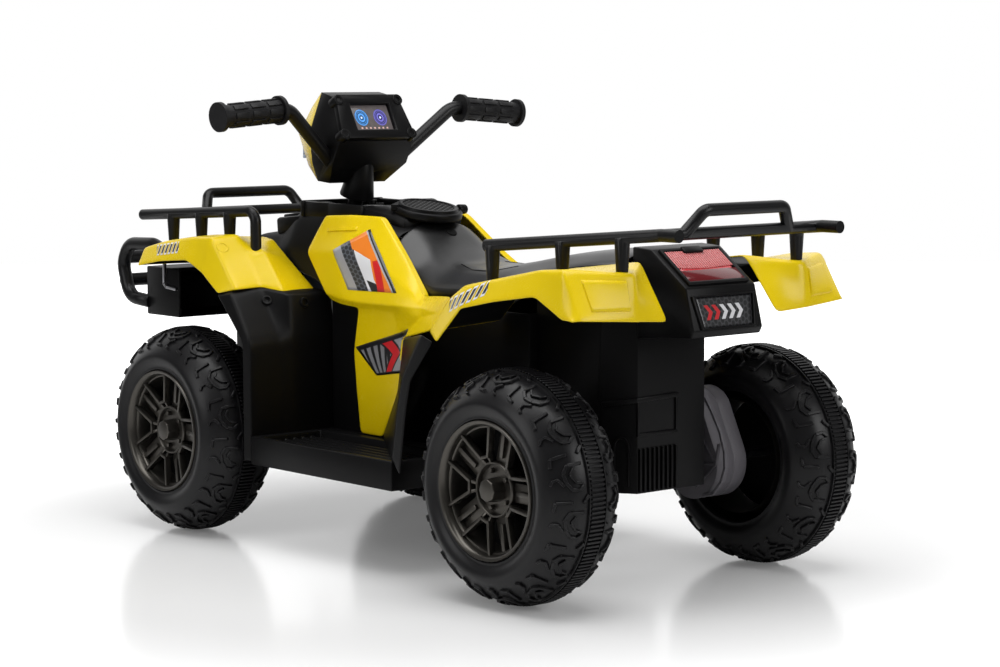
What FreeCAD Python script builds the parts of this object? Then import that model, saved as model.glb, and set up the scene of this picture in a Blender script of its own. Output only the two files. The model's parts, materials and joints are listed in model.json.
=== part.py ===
import FreeCAD, Part
import math
import os
from types import SimpleNamespace

import Sketcher

# Electric ride-on quad bike for a child: moulded body panels on a tub, tube racks and bumper, raked steering
# with knuckles and a tie rod, four wheels, and one geared motor on the right rear wheel.
# +X forward, +Y left, +Z up. The origin is on the floor, in the middle of the overall length and width.
# Lengths are in millimetres and angles in degrees. Places along X count from the middle of the wheelbase.
SIZES = {
    # Whole vehicle
    "wheelbase": 729.2,
    "front_reach": 247.8,
    "rear_reach": 209.0,
    "end_length": 729.2,
    "track": 437.0,
    "half_width": 243.0,
    "deck_height": 440.0,
    "panel_wall": 3.0,
    "shell_wall": 4.0,
    "fit_gap": 0.3,
    "running_gap": 0.05,
    "overrun": 5.0,
    # Wheels
    "tyre_radius": 150.0,
    "tyre_width": 128.0,
    "tyre_bore_radius": 84.0,
    "rim_wall": 4.0,
    "rim_lip": 4.0,
    "disc_inset": 26.0,
    "disc_thickness": 7.0,
    "hub_radius": 17.0,
    "hub_inset": 4.0,
    "cap_radius": 20.0,
    "cap_height": 13.0,
    "cap_wall": 4.0,
    "axle_radius": 5.0,
    "window_inner_radius": 42.0,
    "window_outer_radius": 72.0,
    "window_inner_half": 7.0,
    "window_outer_half": 28.0,
    "spoke_count": 5,
    # Tub and rear housing
    "tub_front_gap": 184.6,
    "tub_rear_gap": 114.6,
    "tub_half_width": 100.0,
    "tub_drop": 38.0,
    "housing_side_reach": 10.4,
    "housing_rear_half_width": 60.0,
    "housing_drop": 21.0,
    # Front frame, kingpins and knuckles
    "rail_inner": 36.0,
    "rail_width": 20.0,
    "rail_height": 30.0,
    "rail_cross_gap": 114.6,
    "beam_back": 40.0,
    "beam_length": 60.0,
    "beam_rise": 36.0,
    "beam_height": 18.0,
    "web_thickness": 12.0,
    "eye_length": 30.0,
    "eye_reach": 32.0,
    "eye_height": 12.0,
    "kingpin_inset": 78.5,
    "kingpin_radius": 4.0,
    "kingpin_head": 6.0,
    "knuckle_radius": 11.0,
    "knuckle_height": 56.0,
    "collar_radius": 9.0,
    "arm_length": 40.0,
    "arm_width": 16.0,
    "arm_thickness": 6.0,
    "tie_pin_radius": 3.0,
    "tie_pin_height": 10.0,
    "tie_rod_width": 16.0,
    "tie_rod_thickness": 6.0,
    "tie_rod_end": 9.0,
    "open_pivot_gap": 0.5,
    "crank_gap": 1.8,
    # Steering column, handlebar and pod
    "rake": 17.7,
    "rod_drop": 20.0,
    "column_radius": 8.0,
    "column_drop": 2.0,
    "crank_radius": 6.0,
    "crank_rise": 8.0,
    "crank_drop": 5.0,
    "bush_wall": 3.0,
    "bush_flange": 3.0,
    "bush_height": 20.0,
    "neck_radius": 20.0,
    "neck_gap": 4.0,
    "bar_radius": 10.0,
    "bar_rise": 90.0,
    "bar_bend": 30.0,
    "bar_waist_rise": 3.0,
    "bar_waist_half": 52.0,
    "bar_shoulder_back": 26.0,
    "bar_shoulder_gap": 10.0,
    "bar_shoulder_rise": 86.5,
    "bar_end_back": 32.0,
    "bar_end_half": 272.0,
    "bar_end_rise": 77.0,
    "grip_radius": 16.0,
    "grip_flange_radius": 21.0,
    "grip_flange": 6.0,
    "grip_length": 112.0,
    "grip_end_wall": 4.0,
    "pod_half_width": 76.0,
    "pod_height": 134.0,
    "pod_drop": 24.0,
    "pod_length": 150.0,
    "pod_back": 37.0,
    "screen_width": 66.0,
    "screen_height": 40.0,
    "screen_thickness": 3.0,
    "lamp_width": 54.0,
    "lamp_height": 24.0,
    "lamp_depth": 12.0,
    # Footboards
    "footboard_front_gap": 31.6,
    "footboard_rear_gap": 76.6,
    "footboard_drop": 32.0,
    "footboard_height": 40.0,
    "tread_depth": 12.0,
    "tread_inner": 128.0,
    "lip_width": 10.0,
    "rib_width": 6.0,
    "rib_height": 4.0,
    "rib_count": 6,
    # Fascia and headlights
    "fascia_ahead": 75.4,
    "fascia_depth": 88.0,
    "fascia_half_width": 190.0,
    "fascia_height": 73.0,
    "fascia_leg_half": 60.0,
    "fascia_leg_length": 40.0,
    "headlight_width": 70.0,
    "headlight_height": 44.0,
    "headlight_depth": 60.0,
    "headlight_offset": 138.0,
    "headlight_rise": 13.0,
    # Racks and bumper
    "rack_radius": 8.0,
    "cross_radius": 7.7,
    "rack_bend": 16.0,
    "handle_bend": 14.0,
    "post_top_radius": 10.0,
    "post_drop": 70.0,
    "bumper_radius": 10.0,
    "bumper_bend": 30.0,
    "bumper_half_width": 185.0,
    # Tail
    "tail_half_width": 62.0,
    "tail_hollow_length": 78.0,
    "tail_hollow_height": 46.0,
    "lens_width": 92.0,
    "lens_length": 56.0,
    "lens_recess": 4.0,
    "lens_height": 6.0,
    # Dash controls and speaker
    "pad_behind": 78.6,
    "pad_length": 46.0,
    "pad_inner": 28.0,
    "pad_width": 36.0,
    "pad_height": 13.0,
    "rocker_length": 20.0,
    "rocker_width": 12.0,
    "rocker_height": 15.0,
    "rocker_swing_room": 2.0,
    "rocker_rise": 4.0,
    "rocker_pin_radius": 1.5,
    "rocker_pin_reach": 2.0,
    "rocker_pin_drop": 3.5,
    "button_radius": 7.0,
    "button_height": 15.0,
    "button_rise": 4.0,
    "button_offset": 10.0,
    "socket_radius": 6.0,
    "socket_bore_radius": 3.2,
    "socket_depth": 10.0,
    "socket_height": 16.0,
    "grille_radius": 50.0,
    "grille_height": 24.0,
    "grille_edge": 4.0,
    # Rear drive
    "case_inner_gap": 68.5,
    "case_split_gap": 36.5,
    "case_outer_gap": 12.5,
    "case_wall": 3.0,
    "case_axle_radius": 49.0,
    "case_motor_radius": 40.0,
    "case_motor_ahead": 17.6,
    "case_motor_rise": 58.0,
    "output_module": 1.6,
    "output_teeth": 52,
    "idler_pinion_teeth": 14,
    "idler_direction": 75.0,
    "motor_module": 1.25,
    "idler_teeth": 40,
    "motor_teeth": 12,
    "motor_direction": 60.0,
    "output_plane_gap": 28.5,
    "output_gear_width": 10.0,
    "idler_plane_gap": 41.5,
    "idler_gear_width": 8.0,
    "gear_hub_radius": 12.0,
    "idler_pin_radius": 3.0,
    "motor_radius": 18.0,
    "motor_length": 56.0,
    "motor_shaft_radius": 1.6,
    "motor_shaft_depth": 20.0,
    # Battery, control box and pedal
    "battery_length": 151.0,
    "battery_width": 65.0,
    "battery_height": 95.0,
    "battery_gap": 30.0,
    "control_length": 90.0,
    "control_width": 60.0,
    "control_height": 30.0,
    "control_gap": 15.0,
    "pedal_back": 95.0,
    "pedal_pivot_rise": 12.0,
    "pedal_offset": 178.0,
    "pedal_length": 72.0,
    "pedal_width": 52.0,
    "pedal_thickness": 6.0,
    "pedal_tilt": 22.0,
    "pedal_barrel_radius": 6.0,
    "pedal_pin_radius": 3.0,
    "lug_thickness": 5.0,
    "lug_length": 16.0,
    "lug_height": 19.0,
}

# Where the front end and the rear end of the body start: they keep their length when the wheelbase changes
AXLE_SHARE = .5
FRONT_END_SHARE = .25
REAR_END_SHARE = -.185
# Heights, shares of the deck height
TUB_TOP_SHARE = .8
HOUSING_TOP_SHARE = .909
FASCIA_TOP_SHARE = .859
PAD_SHARE = 1.05
GRILLE_SHARES = (.1125, 1.05)
# Panel cages: rows of (along, across, up) shares of the wheelbase, the half width and the deck height
FRONT_FENDER_SHARES = (
    ((.650, .40, .868), (.650, .68, .872), (.650, .775, .873), (.649, .94, .873), (.645, 1.0, .873)),
    ((.645, .40, .925), (.645, .68, .932), (.645, .775, .936), (.645, .947, .934), (.645, 1.0, .873)),
    ((.570, .40, .952), (.570, .68, .960), (.570, .775, .964), (.570, .947, .961), (.570, 1.0, .895)),
    ((.473, .40, .970), (.473, .68, .980), (.473, .775, .986), (.473, .947, .982), (.468, 1.0, .907)),
    ((.445, .40, .962), (.410, .68, .975), (.395, .775, .993), (.403, .947, .986), (.414, 1.0, .870)),
    ((.383, .40, .891), (.345, .68, .940), (.354, .775, .909), (.360, .947, .905), (.384, 1.0, .836)),
    ((.304, .40, .807), (.282, .68, .809), (.316, .775, .827), (.318, .947, .823), (.358, 1.0, .809)),
)
REAR_FENDER_SHARES = (
    ((-.267, .42, .775), (-.269, .66, .768), (-.272, .938, .759), (-.317, 1.0, .736)),
    ((-.333, .42, .880), (-.333, .66, .875), (-.333, .938, .868), (-.359, 1.0, .800)),
    ((-.373, .42, .918), (-.373, .66, .912), (-.370, .938, .905), (-.384, 1.0, .841)),
    ((-.468, .40, .950), (-.468, .66, .941), (-.468, .938, .936), (-.473, 1.0, .870)),
    ((-.555, .38, .968), (-.555, .66, .945), (-.572, .947, .970), (-.579, 1.0, .895)),
    ((-.622, .38, .982), (-.692, .62, .963), (-.634, .955, .977), (-.648, 1.0, .836)),
    ((-.698, .40, .818), (-.702, .64, .825), (-.684, .955, .836), (-.674, 1.0, .838)),
)
LEG_SHIELD_SHARES = (
    ((.357, 1.0, .800), (.318, .985, .806), (.313, .775, .820), (.270, .68, .803), (.268, .41, .800)),
    ((.275, 1.0, .660), (.256, .985, .660), (.256, .775, .660), (.252, .68, .660), (.252, .41, .660)),
    ((.275, 1.0, .455), (.256, .985, .455), (.256, .775, .455), (.252, .68, .455), (.252, .41, .455)),
    ((.275, 1.0, .275), (.256, .985, .275), (.256, .775, .275), (.252, .68, .275), (.252, .41, .275)),
)
REAR_ARCH_SHARES = (
    ((.060, .48, .364), (-.185, .99, .362), (-.212, 1.0, .320)),
    ((.003, .50, .520), (-.203, .99, .527), (-.232, 1.0, .527)),
    ((-.008, .505, .600), (-.216, .99, .614), (-.245, 1.0, .614)),
    ((-.020, .515, .690), (-.268, .985, .752), (-.308, 1.0, .735)),
)
# The side panel's corners: a to e run from its front point to its rear, g and f are on the flare to the fender
SIDE_PANEL_SHARES = {
    "a0": (.290, .362, 1.052), "b0": (.206, .346, 1.059), "c0": (.122, .330, 1.058),
    "d0": (.027, .379, .936), "e0": (-.062, .460, .827),
    "al": (.287, .300, 1.049), "bl": (.206, .295, 1.056), "cl": (.121, .290, 1.056),
    "dl": (.027, .340, .932), "el": (-.062, .415, .824),
    "a1": (.324, .428, .932), "b1": (.213, .461, .936), "c1": (.117, .461, .927),
    "d1": (.025, .469, .875), "e1": (-.082, .510, .812),
    "a2": (.236, .486, .805), "b2": (.185, .502, .795), "c2": (.130, .519, .789),
    "d2": (.014, .527, .791), "e2": (-.103, .576, .797),
    "a3": (.226, .461, .782), "b3": (.185, .477, .773), "c3": (.130, .486, .768),
    "d3": (.011, .502, .768), "e3": (-.110, .600, .770),
    "c4": (.151, .477, .627), "d4": (-.008, .500, .600),
    "c5": (.143, .477, .500), "d5": (.000, .494, .520),
    "c6": (.134, .469, .362), "d6": (.060, .477, .362),
    "g": (-.020, .510, .693), "f0": (-.330, .930, .868), "f1": (-.302, .930, .815), "f2": (-.271, .930, .760),
}
SIDE_PANEL_FACES = (
    "al a0 b0 bl", "bl b0 c0 cl", "cl c0 d0 dl", "dl d0 e0 el",
    "a0 a1 b1 b0", "b0 b1 c1 c0", "c0 c1 d1 d0", "d0 d1 e1 e0",
    "a1 a2 b2 b1", "b1 b2 c2 c1", "c1 c2 d2 d1", "d1 d2 e2 e1",
    "a2 a3 b3 b2", "b2 b3 c3 c2", "c2 c3 d3 d2", "d2 d3 e3 e2",
    "c3 c4 d4 g d3", "c4 c5 d5 d4", "c5 c6 d6 d5", "d3 g e3",
    "e0 e1 f0", "e1 e2 f1 f0", "e2 e3 f1", "e3 g f2 f1",
)
# Top cover and seat: rows of (along, (across, up) from the middle line to the skirt's edge), both sides alike
TOP_COVER_SHARES = (
    (.645, (.0, .909), (.288, .905), (.40, .861)),
    (.549, (.0, .977), (.288, .972), (.40, .880)),
    (.459, (.0, 1.000), (.288, .990), (.40, .880)),
    (.411, (.0, 1.068), (.288, 1.059), (.40, .880)),
    (.309, (.0, 1.080), (.292, 1.072), (.40, .840)),
    (.260, (.0, 1.080), (.300, 1.066), (.40, .801)),
    (.178, (.0, 1.062), (.300, 1.050), (.40, .801)),
    (.0818, (.0, 1.052), (.300, 1.000), (.40, .801)),
)
SEAT_SHARES = (
    (.0810, (.0, 1.045), (.19, 1.030), (.33, .975), (.390, .801)),
    (.014, (.0, .962), (.22, .952), (.37, .882), (.395, .801)),
    (-.055, (.0, .918), (.25, .909), (.41, .850), (.400, .801)),
    (-.165, (.0, .923), (.265, .914), (.435, .855), (.400, .801)),
    (-.274, (.0, .950), (.27, .941), (.44, .882), (.400, .801)),
    (-.384, (.0, .984), (.265, .975), (.43, .930), (.345, .910)),
    (-.480, (.0, 1.002), (.24, .993), (.39, .957), (.345, .910)),
    (-.553, (.0, 1.005), (.20, .995), (.33, .968), (.300, .910)),
)
# Tail box profile, shares of the wheelbase and the deck height: rear slope first, then down and round
TAIL_BOX_SHARES = (
    (-.558, 1.014), (-.605, 1.009), (-.690, .905), (-.709, .784), (-.703, .764), (-.5695, .750),
    (-.5695, .912), (-.558, .912),
)
# Pod: corners of its rear shell and front cowl, shares of its length, half width and height from its low back
POD_REAR_SHARES = {
    "t": (.227, .74, .955), "b": (.000, .895, .470), "m": (.120, .900, .220), "l": (.320, .67, .010),
    "st": (.420, .70, 1.000), "sm": (.420, 1.000, .560), "sn": (.460, .880, .230), "sb": (.480, .72, .030),
}
POD_REAR_FACES = (
    "tl bl br tr", "bl ml mr br", "ml ll lr mr", "tl tr str stl", "tl stl sml bl", "bl sml snl ml",
    "ml snl sbl ll", "br smr str tr", "mr snr smr br", "lr sbr snr mr", "ll sbl sbr lr",
)
POD_COWL_SHARES = {
    "st": (.420, .70, 1.000), "sm": (.420, 1.000, .560), "sn": (.460, .880, .230), "sb": (.480, .72, .030),
    "ft": (.700, .52, .840), "fm": (.900, .56, .540), "fb": (.800, .48, .190), "fl": (.620, .50, .030),
    "ct": (.780, .0, .860), "cm": (1.000, .0, .540), "cb": (.910, .0, .170), "cl": (.660, .0, .020),
}
POD_COWL_FACES = (
    "str ftr ct ftl stl", "ftl fml sml stl", "fml fbl snl sml", "fbl fll sbl snl", "ct cm fml ftl", "cm cb fbl fml",
    "cb cl fll fbl", "smr fmr ftr str", "snr fbr fmr smr", "sbr flr fbr snr", "fmr cm ct ftr", "fbr cb cm fmr",
    "flr cl cb fbr",
)
# Tube routes, shares of the wheelbase, the half width and the deck height; the bumper's are of its reach
REAR_RAIL_SHARES = ((-.388, .827, 1.018), (-.745, .590, 1.068))
REAR_CROSS_SHARE = -.727
REAR_HANDLE_SHARES = ((-.727, .383, 1.062), (-.746, .290, 1.132))
REAR_POST_SHARES = (-.402, -.548, -.668)
FRONT_RAIL_SHARES = ((.747, .757, 1.034), (.368, .698, 1.068))
FRONT_CROSS_SHARE = .702
FRONT_HANDLE_SHARES = ((.702, .370, 1.040), (.724, .313, 1.102))
FRONT_POST_SHARES = (.640, .545, .452)
BUMPER_SHARES = ((.603, .935), (.883, .930), (.956, .860), (.883, .745))
BUMPER_START_SHARES = (.450, .905)
BUMPER_END_SHARE = .735
BUMPER_BAR_SHARES = (.880, .800)
# A post's foot radius, a share of its top radius
POST_FOOT_SHARE = .6
# Tyre section: shares of the tyre's radius and half width, from the bead to the crown
TYRE_SHARES = ((.60, .88), (.68, .985), (.735, 1.0), (.855, .80), (.958, .50), (1.0, .12))
# Gear teeth: shares of the module, and of the tooth pitch for the half widths at tip, pitch and root
GEAR_ADDENDUM_SHARE = .85
GEAR_DEDENDUM_SHARE = 1.15
GEAR_TOOTH_SHARES = (.11, .215, .27)
HALF_TURN = 180


class Size:
    """A named length: its value, and the expression that binds a property to the sheet."""

    def __init__(self, value, text):
        self.value = float(value)
        self.text = text

    @staticmethod
    def of(other):
        if isinstance(other, Size):
            return other
        return Size(other, repr(float(other)))

    def __add__(self, other):
        other = Size.of(other)
        return Size(self.value + other.value, f"({self.text} + {other.text})")

    def __sub__(self, other):
        other = Size.of(other)
        return Size(self.value - other.value, f"({self.text} - {other.text})")

    def __mul__(self, other):
        other = Size.of(other)
        return Size(self.value * other.value, f"({self.text} * {other.text})")

    def __truediv__(self, other):
        other = Size.of(other)
        return Size(self.value / other.value, f"({self.text} / {other.text})")

    def __neg__(self):
        return Size(-self.value, f"(-1 * {self.text})")

    def __radd__(self, other):
        return Size.of(other) + self

    def __rsub__(self, other):
        return Size.of(other) - self

    def __rmul__(self, other):
        return Size.of(other) * self


doc = FreeCAD.newDocument("quad_bike")
sheet = doc.addObject("Spreadsheet::Sheet", "Sizes")
for row, (alias, number) in enumerate(SIZES.items(), start=1):
    sheet.set(f"A{row}", alias)
    sheet.set(f"B{row}", str(number))
    sheet.setAlias(f"B{row}", alias)
doc.recompute()

s = SimpleNamespace(**{alias: Size(number, f"Sizes.{alias}") for alias, number in SIZES.items()})
v = SimpleNamespace(**SIZES)
Vector = FreeCAD.Vector
LEFT, RIGHT = 1, -1
SIDES = {"left": LEFT, "right": RIGHT}
# The middle of the wheelbase, where every X below counts from, and the two axles
middle = (s.rear_reach - s.front_reach) / 2
front_axle = s.wheelbase / 2
rear_axle = -s.wheelbase / 2
axle_height = s.tyre_radius
MIDDLE = FreeCAD.Placement(Vector(middle.value, 0, 0), FreeCAD.Rotation())
AXIS_TURNS = {
    "x": FreeCAD.Rotation(Vector(0, 1, 0), 90),
    "y": FreeCAD.Rotation(Vector(1, 0, 0), -90),
    "z": FreeCAD.Rotation(),
}
pieces = {}


def bind(item, **sizes):
    """Bind properties of an object to the sheet."""
    for name, size in sizes.items():
        item.setExpression(name, Size.of(size).text)
    return item


def place(item, x, y, z):
    """Bind an object's place, with X counted from the middle of the wheelbase."""
    for axis, size in zip("xyz", (middle + x, y, z)):
        item.setExpression(f".Placement.Base.{axis}", Size.of(size).text)
    return item


def block(name, length, width, height, x, y, z):
    """A box from its low corner."""
    item = doc.addObject("Part::Box", name)
    bind(item, Length=length, Width=width, Height=height)
    return place(item, x, y, z)


def rod(name, radius, length, x, y, z, axis="z"):
    """A round bar from its start, along an axis."""
    item = doc.addObject("Part::Cylinder", name)
    item.Placement = FreeCAD.Placement(Vector(), AXIS_TURNS[axis])
    bind(item, Radius=radius, Height=length)
    return place(item, x, y, z)


def fuse(name, *items):
    joined = doc.addObject("Part::MultiFuse", name)
    joined.Shapes = list(items)
    joined.Refine = True
    return joined


def cut(name, base, *tools):
    """Cut one or more tools from a base."""
    tool = tools[0] if len(tools) == 1 else fuse(name + "_tools", *tools)
    rest = doc.addObject("Part::Cut", name)
    rest.Base = base
    rest.Tool = tool
    return rest


def piece(label, item):
    """Register an object as a finished piece."""
    item.Label = label
    pieces[label] = item
    return item


def feature(label, shape):
    """A piece whose shape is worked out here, about the middle of the wheelbase."""
    item = doc.addObject("Part::Feature", label)
    item.Shape = shape
    item.Placement = MIDDLE.multiply(shape.Placement)
    return piece(label, item)


def local(label):
    """A finished piece's shape, moved to the frame of the middle of the wheelbase."""
    doc.recompute()
    shape = pieces[label].Shape.copy()
    shape.Placement = MIDDLE.inverse().multiply(shape.Placement)
    return shape


def largest(shape):
    return max(shape.Solids, key=lambda solid: solid.Volume)


def trimmed(shape, *labels):
    """Trim a shape by finished neighbours, so that it seats on them, and keep the main solid."""
    for label in labels:
        shape = largest(shape.cut(local(label)))
    return shape


def along(share):
    """A place along the vehicle: both ends keep their own length, and the middle takes up the rest."""
    front = front_axle.value - (AXLE_SHARE - FRONT_END_SHARE) * v.end_length
    rear = rear_axle.value + (AXLE_SHARE + REAR_END_SHARE) * v.end_length
    if share > FRONT_END_SHARE:
        return front + (share - FRONT_END_SHARE) * v.end_length
    if share < REAR_END_SHARE:
        return rear + (share - REAR_END_SHARE) * v.end_length
    return rear + (share - REAR_END_SHARE) / (FRONT_END_SHARE - REAR_END_SHARE) * (front - rear)


def spot(along_share, across_share, up_share):
    """A point from shares of the length, the half width and the deck height."""
    return Vector(along(along_share), across_share * v.half_width, up_share * v.deck_height)


def rounded(point):
    return tuple(round(value, 6) for value in point)


def sheet_solid(faces, wall):
    """A moulded panel: outer faces, given as loops of points that turn outwards, thickened inwards by a wall."""
    points = {}
    triangles = []
    for loop in faces:
        keys = [rounded(point) for point in loop]
        points.update(zip(keys, loop))
        for second, third in zip(keys[1:], keys[2:]):
            if len({keys[0], second, third}) == 3:
                triangles.append((keys[0], second, third))
    normals = {key: Vector() for key in points}
    for first, second, third in triangles:
        normal = (points[second] - points[first]).cross(points[third] - points[first])
        for key in (first, second, third):
            normals[key] = normals[key] + normal
    inner = {key: points[key] - normals[key].normalize() * wall for key in points if normals[key].Length}
    edges = {edge for tri in triangles for edge in zip(tri, tri[1:] + tri[:1])}
    loops = [[points[key] for key in tri] for tri in triangles]
    loops += [[inner[key] for key in reversed(tri)] for tri in triangles]
    for start, end in edges:
        if (end, start) not in edges:
            loops.append([points[end], points[start], inner[start]])
            loops.append([points[end], inner[start], inner[end]])
    shell = Part.makeShell([Part.Face(Part.makePolygon(loop + loop[:1])) for loop in loops])
    shell.sewShape()
    solid = Part.makeSolid(Part.Shell(shell.Faces))
    if solid.Volume < 0:
        solid.reverse()
    return solid.removeSplitter()


def turned_over(loop):
    """A loop run the other way round from the same corner, so that both sides split into triangles alike."""
    return loop[:1] + loop[:0:-1]


def grid_faces(rows, side):
    """Four-sided faces of a cage of rows of shares, turned outwards on either side."""
    cage = [[spot(x, side * y, z) for x, y, z in row] for row in rows]
    faces = []
    for near, far in zip(cage, cage[1:]):
        for column in range(len(near) - 1):
            loop = [near[column], near[column + 1], far[column + 1], far[column]]
            faces.append(loop if side == LEFT else turned_over(loop))
    return faces


def saddle_rows(table):
    """Whole rows, from the left skirt over the middle line to the right skirt, from a half section's shares."""
    rows = []
    for along, *half in table:
        right = [(along, -y, z) for y, z in half[1:]]
        rows.append([(along, y, z) for y, z in reversed(half)] + right)
    return rows


def tube(points, radius, bend):
    """A round tube along straight runs joined by tangent arcs."""
    edges = []
    start = points[0]
    for before, corner, after in zip(points, points[1:], points[2:]):
        back = (before - corner).normalize()
        ahead = (after - corner).normalize()
        half_angle = back.getAngle(ahead) / 2
        reach = bend / math.tan(half_angle)
        crown = corner + (back + ahead).normalize() * (bend / math.sin(half_angle) - bend)
        enter, leave = corner + back * reach, corner + ahead * reach
        edges += [Part.makeLine(start, enter), Part.Arc(enter, crown, leave).toShape()]
        start = leave
    edges.append(Part.makeLine(start, points[-1]))
    path = Part.Wire(edges)
    section = Part.Wire(Part.makeCircle(radius, points[0], points[1] - points[0]))
    return path.makePipeShell([section], True, False)


def welded(shapes):
    """Join shapes one after another."""
    whole = shapes[0]
    for shape in shapes[1:]:
        whole = whole.fuse(shape)
    return whole.removeSplitter()


def bar(start, end, radius):
    return Part.makeCylinder(radius, (end - start).Length, start, end - start)


def mirrored(point):
    return Vector(point.x, -point.y, point.z)


def outline_sketch(body, plane_role, points):
    """A closed outline on one of the body's own planes, with every corner bound to the sheet."""
    plane = next(item for item in body.Origin.OriginFeatures if item.Role == plane_role)
    sketch = body.newObject("Sketcher::SketchObject", body.Name + "_outline")
    sketch.AttachmentSupport = [(plane, "")]
    sketch.MapMode = "FlatFace"
    corners = [Vector(x.value, y.value, 0) for x, y in points]
    for start, end in zip(corners, corners[1:] + corners[:1]):
        sketch.addGeometry(Part.LineSegment(start, end))
    for index in range(len(points)):
        sketch.addConstraint(Sketcher.Constraint("Coincident", index, 2, (index + 1) % len(points), 1))
    for index, corner in enumerate(points):
        for kind, line, size in zip(("DistanceX", "DistanceY"), (-2, -1), corner):
            if size.value == 0:
                sketch.addConstraint(Sketcher.Constraint("PointOnObject", index, 1, line))
                continue
            ends = (-1, 1, index, 1) if size.value > 0 else (index, 1, -1, 1)
            number = sketch.addConstraint(Sketcher.Constraint(kind, *ends, abs(size.value)))
            sketch.setExpression(f"Constraints[{number}]", (size if size.value > 0 else -size).text)
    return sketch


def turned_body(label, points):
    """A body of revolution about its own Y axis, from (radius, along) corners."""
    body = doc.addObject("PartDesign::Body", label)
    sketch = outline_sketch(body, "XY_Plane", points)
    turned = body.newObject("PartDesign::Revolution", label + "_turned")
    turned.Profile = sketch
    turned.ReferenceAxis = (sketch, ["V_Axis"])
    turned.Angle = 360
    return body


def wheel_place(body, side, x):
    """Put a wheel piece at its axle, outer face outwards."""
    if side == RIGHT:
        body.Placement = FreeCAD.Placement(Vector(), FreeCAD.Rotation(Vector(0, 0, 1), 180))
    return place(body, x, side * s.track / 2, axle_height)


# Wheels

tyre_half = s.tyre_width / 2
bead = TYRE_SHARES[0][1] * tyre_half - s.rim_lip
disc_face = tyre_half - s.disc_inset
cap_face = disc_face + s.cap_height
axle_end = s.track / 2 + cap_face - s.cap_wall - s.fit_gap
hub_end = tyre_half - s.hub_inset
bore_radius = s.axle_radius + s.running_gap
barrel_radius = s.tyre_bore_radius - s.rim_wall


def tyre(label, side, x):
    """Blow-moulded tyre: bead, rounded side wall and crown, the same on both sides."""
    half = [(r * s.tyre_radius, y * tyre_half) for r, y in TYRE_SHARES]
    points = [(s.tyre_bore_radius, -bead)] + [(r, -y) for r, y in half]
    points += half[::-1] + [(s.tyre_bore_radius, bead)]
    return piece(label, wheel_place(turned_body(label, points), side, x))


def rim(label, side, x):
    """Dished rim: barrel, disc with windows between its spokes, hub tube and closed hub cap."""
    points = [
        (bore_radius, -hub_end), (s.hub_radius, -hub_end), (s.hub_radius, disc_face - s.disc_thickness),
        (barrel_radius, disc_face - s.disc_thickness), (barrel_radius, -bead), (s.tyre_bore_radius, -bead),
        (s.tyre_bore_radius, bead + s.rim_lip), (barrel_radius, bead + s.rim_lip), (barrel_radius, disc_face),
        (s.cap_radius, disc_face), (s.cap_radius, cap_face), (Size.of(0), cap_face),
        (Size.of(0), cap_face - s.cap_wall), (bore_radius, cap_face - s.cap_wall),
    ]
    body = turned_body(label, points)
    window = [
        (s.window_inner_radius, -s.window_inner_half), (s.window_outer_radius, -s.window_outer_half),
        (s.window_outer_radius, s.window_outer_half), (s.window_inner_radius, s.window_inner_half),
    ]
    sketch = outline_sketch(body, "XZ_Plane", window)
    pocket = body.newObject("PartDesign::Pocket", label + "_window")
    pocket.Profile = sketch
    pocket.Type = "ThroughAll"
    pocket.Midplane = True
    pattern = body.newObject("PartDesign::PolarPattern", label + "_windows")
    pattern.Originals = [pocket]
    pattern.Axis = (next(item for item in body.Origin.OriginFeatures if item.Role == "Y_Axis"), [""])
    pattern.Angle = 360
    bind(pattern, Occurrences=s.spoke_count)
    body.Tip = pattern
    return piece(label, wheel_place(body, side, x))


for end, axle in (("front", front_axle), ("rear", rear_axle)):
    for name, side in SIDES.items():
        tyre(f"tyre_{end}_{name}", side, axle)
        rim(f"rim_{end}_{name}", side, axle)


# Tub, rear housing and rear axle

wheel_inner = ((s.track - s.tyre_width) / 2).value
case_inner = wheel_inner - v.case_inner_gap
case_split = wheel_inner - v.case_split_gap
case_outer = wheel_inner - v.case_outer_gap
output_plane = wheel_inner - v.output_plane_gap
idler_plane = wheel_inner - v.idler_plane_gap
tub_front = front_axle - s.tub_front_gap
tub_rear = rear_axle + s.tub_rear_gap
tub_length = tub_front - tub_rear
tub_bottom = axle_height - s.tub_drop
tub_height = TUB_TOP_SHARE * s.deck_height - tub_bottom
tub_outer = block("tub_outer", tub_length, 2 * s.tub_half_width, tub_height,
                  tub_rear, -s.tub_half_width, tub_bottom)
tub_inside = block("tub_inside", tub_length - 2 * s.shell_wall, 2 * (s.tub_half_width - s.shell_wall), tub_height,
                   tub_rear + s.shell_wall, s.shell_wall - s.tub_half_width, tub_bottom + s.shell_wall)
piece("chassis_tub", cut("chassis_tub", tub_outer, tub_inside))

idler_at = SimpleNamespace(
    x=rear_axle.value + v.output_module * (v.output_teeth + v.idler_pinion_teeth) / 2
    * math.cos(math.radians(v.idler_direction)),
    z=axle_height.value + v.output_module * (v.output_teeth + v.idler_pinion_teeth) / 2
    * math.sin(math.radians(v.idler_direction)),
)
motor_at = SimpleNamespace(
    x=idler_at.x + v.motor_module * (v.idler_teeth + v.motor_teeth) / 2 * math.cos(math.radians(v.motor_direction)),
    z=idler_at.z + v.motor_module * (v.idler_teeth + v.motor_teeth) / 2 * math.sin(math.radians(v.motor_direction)),
)


housing_rear = along(TAIL_BOX_SHARES[5][0]) + v.fit_gap
housing_bottom = axle_height.value - v.housing_drop


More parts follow.
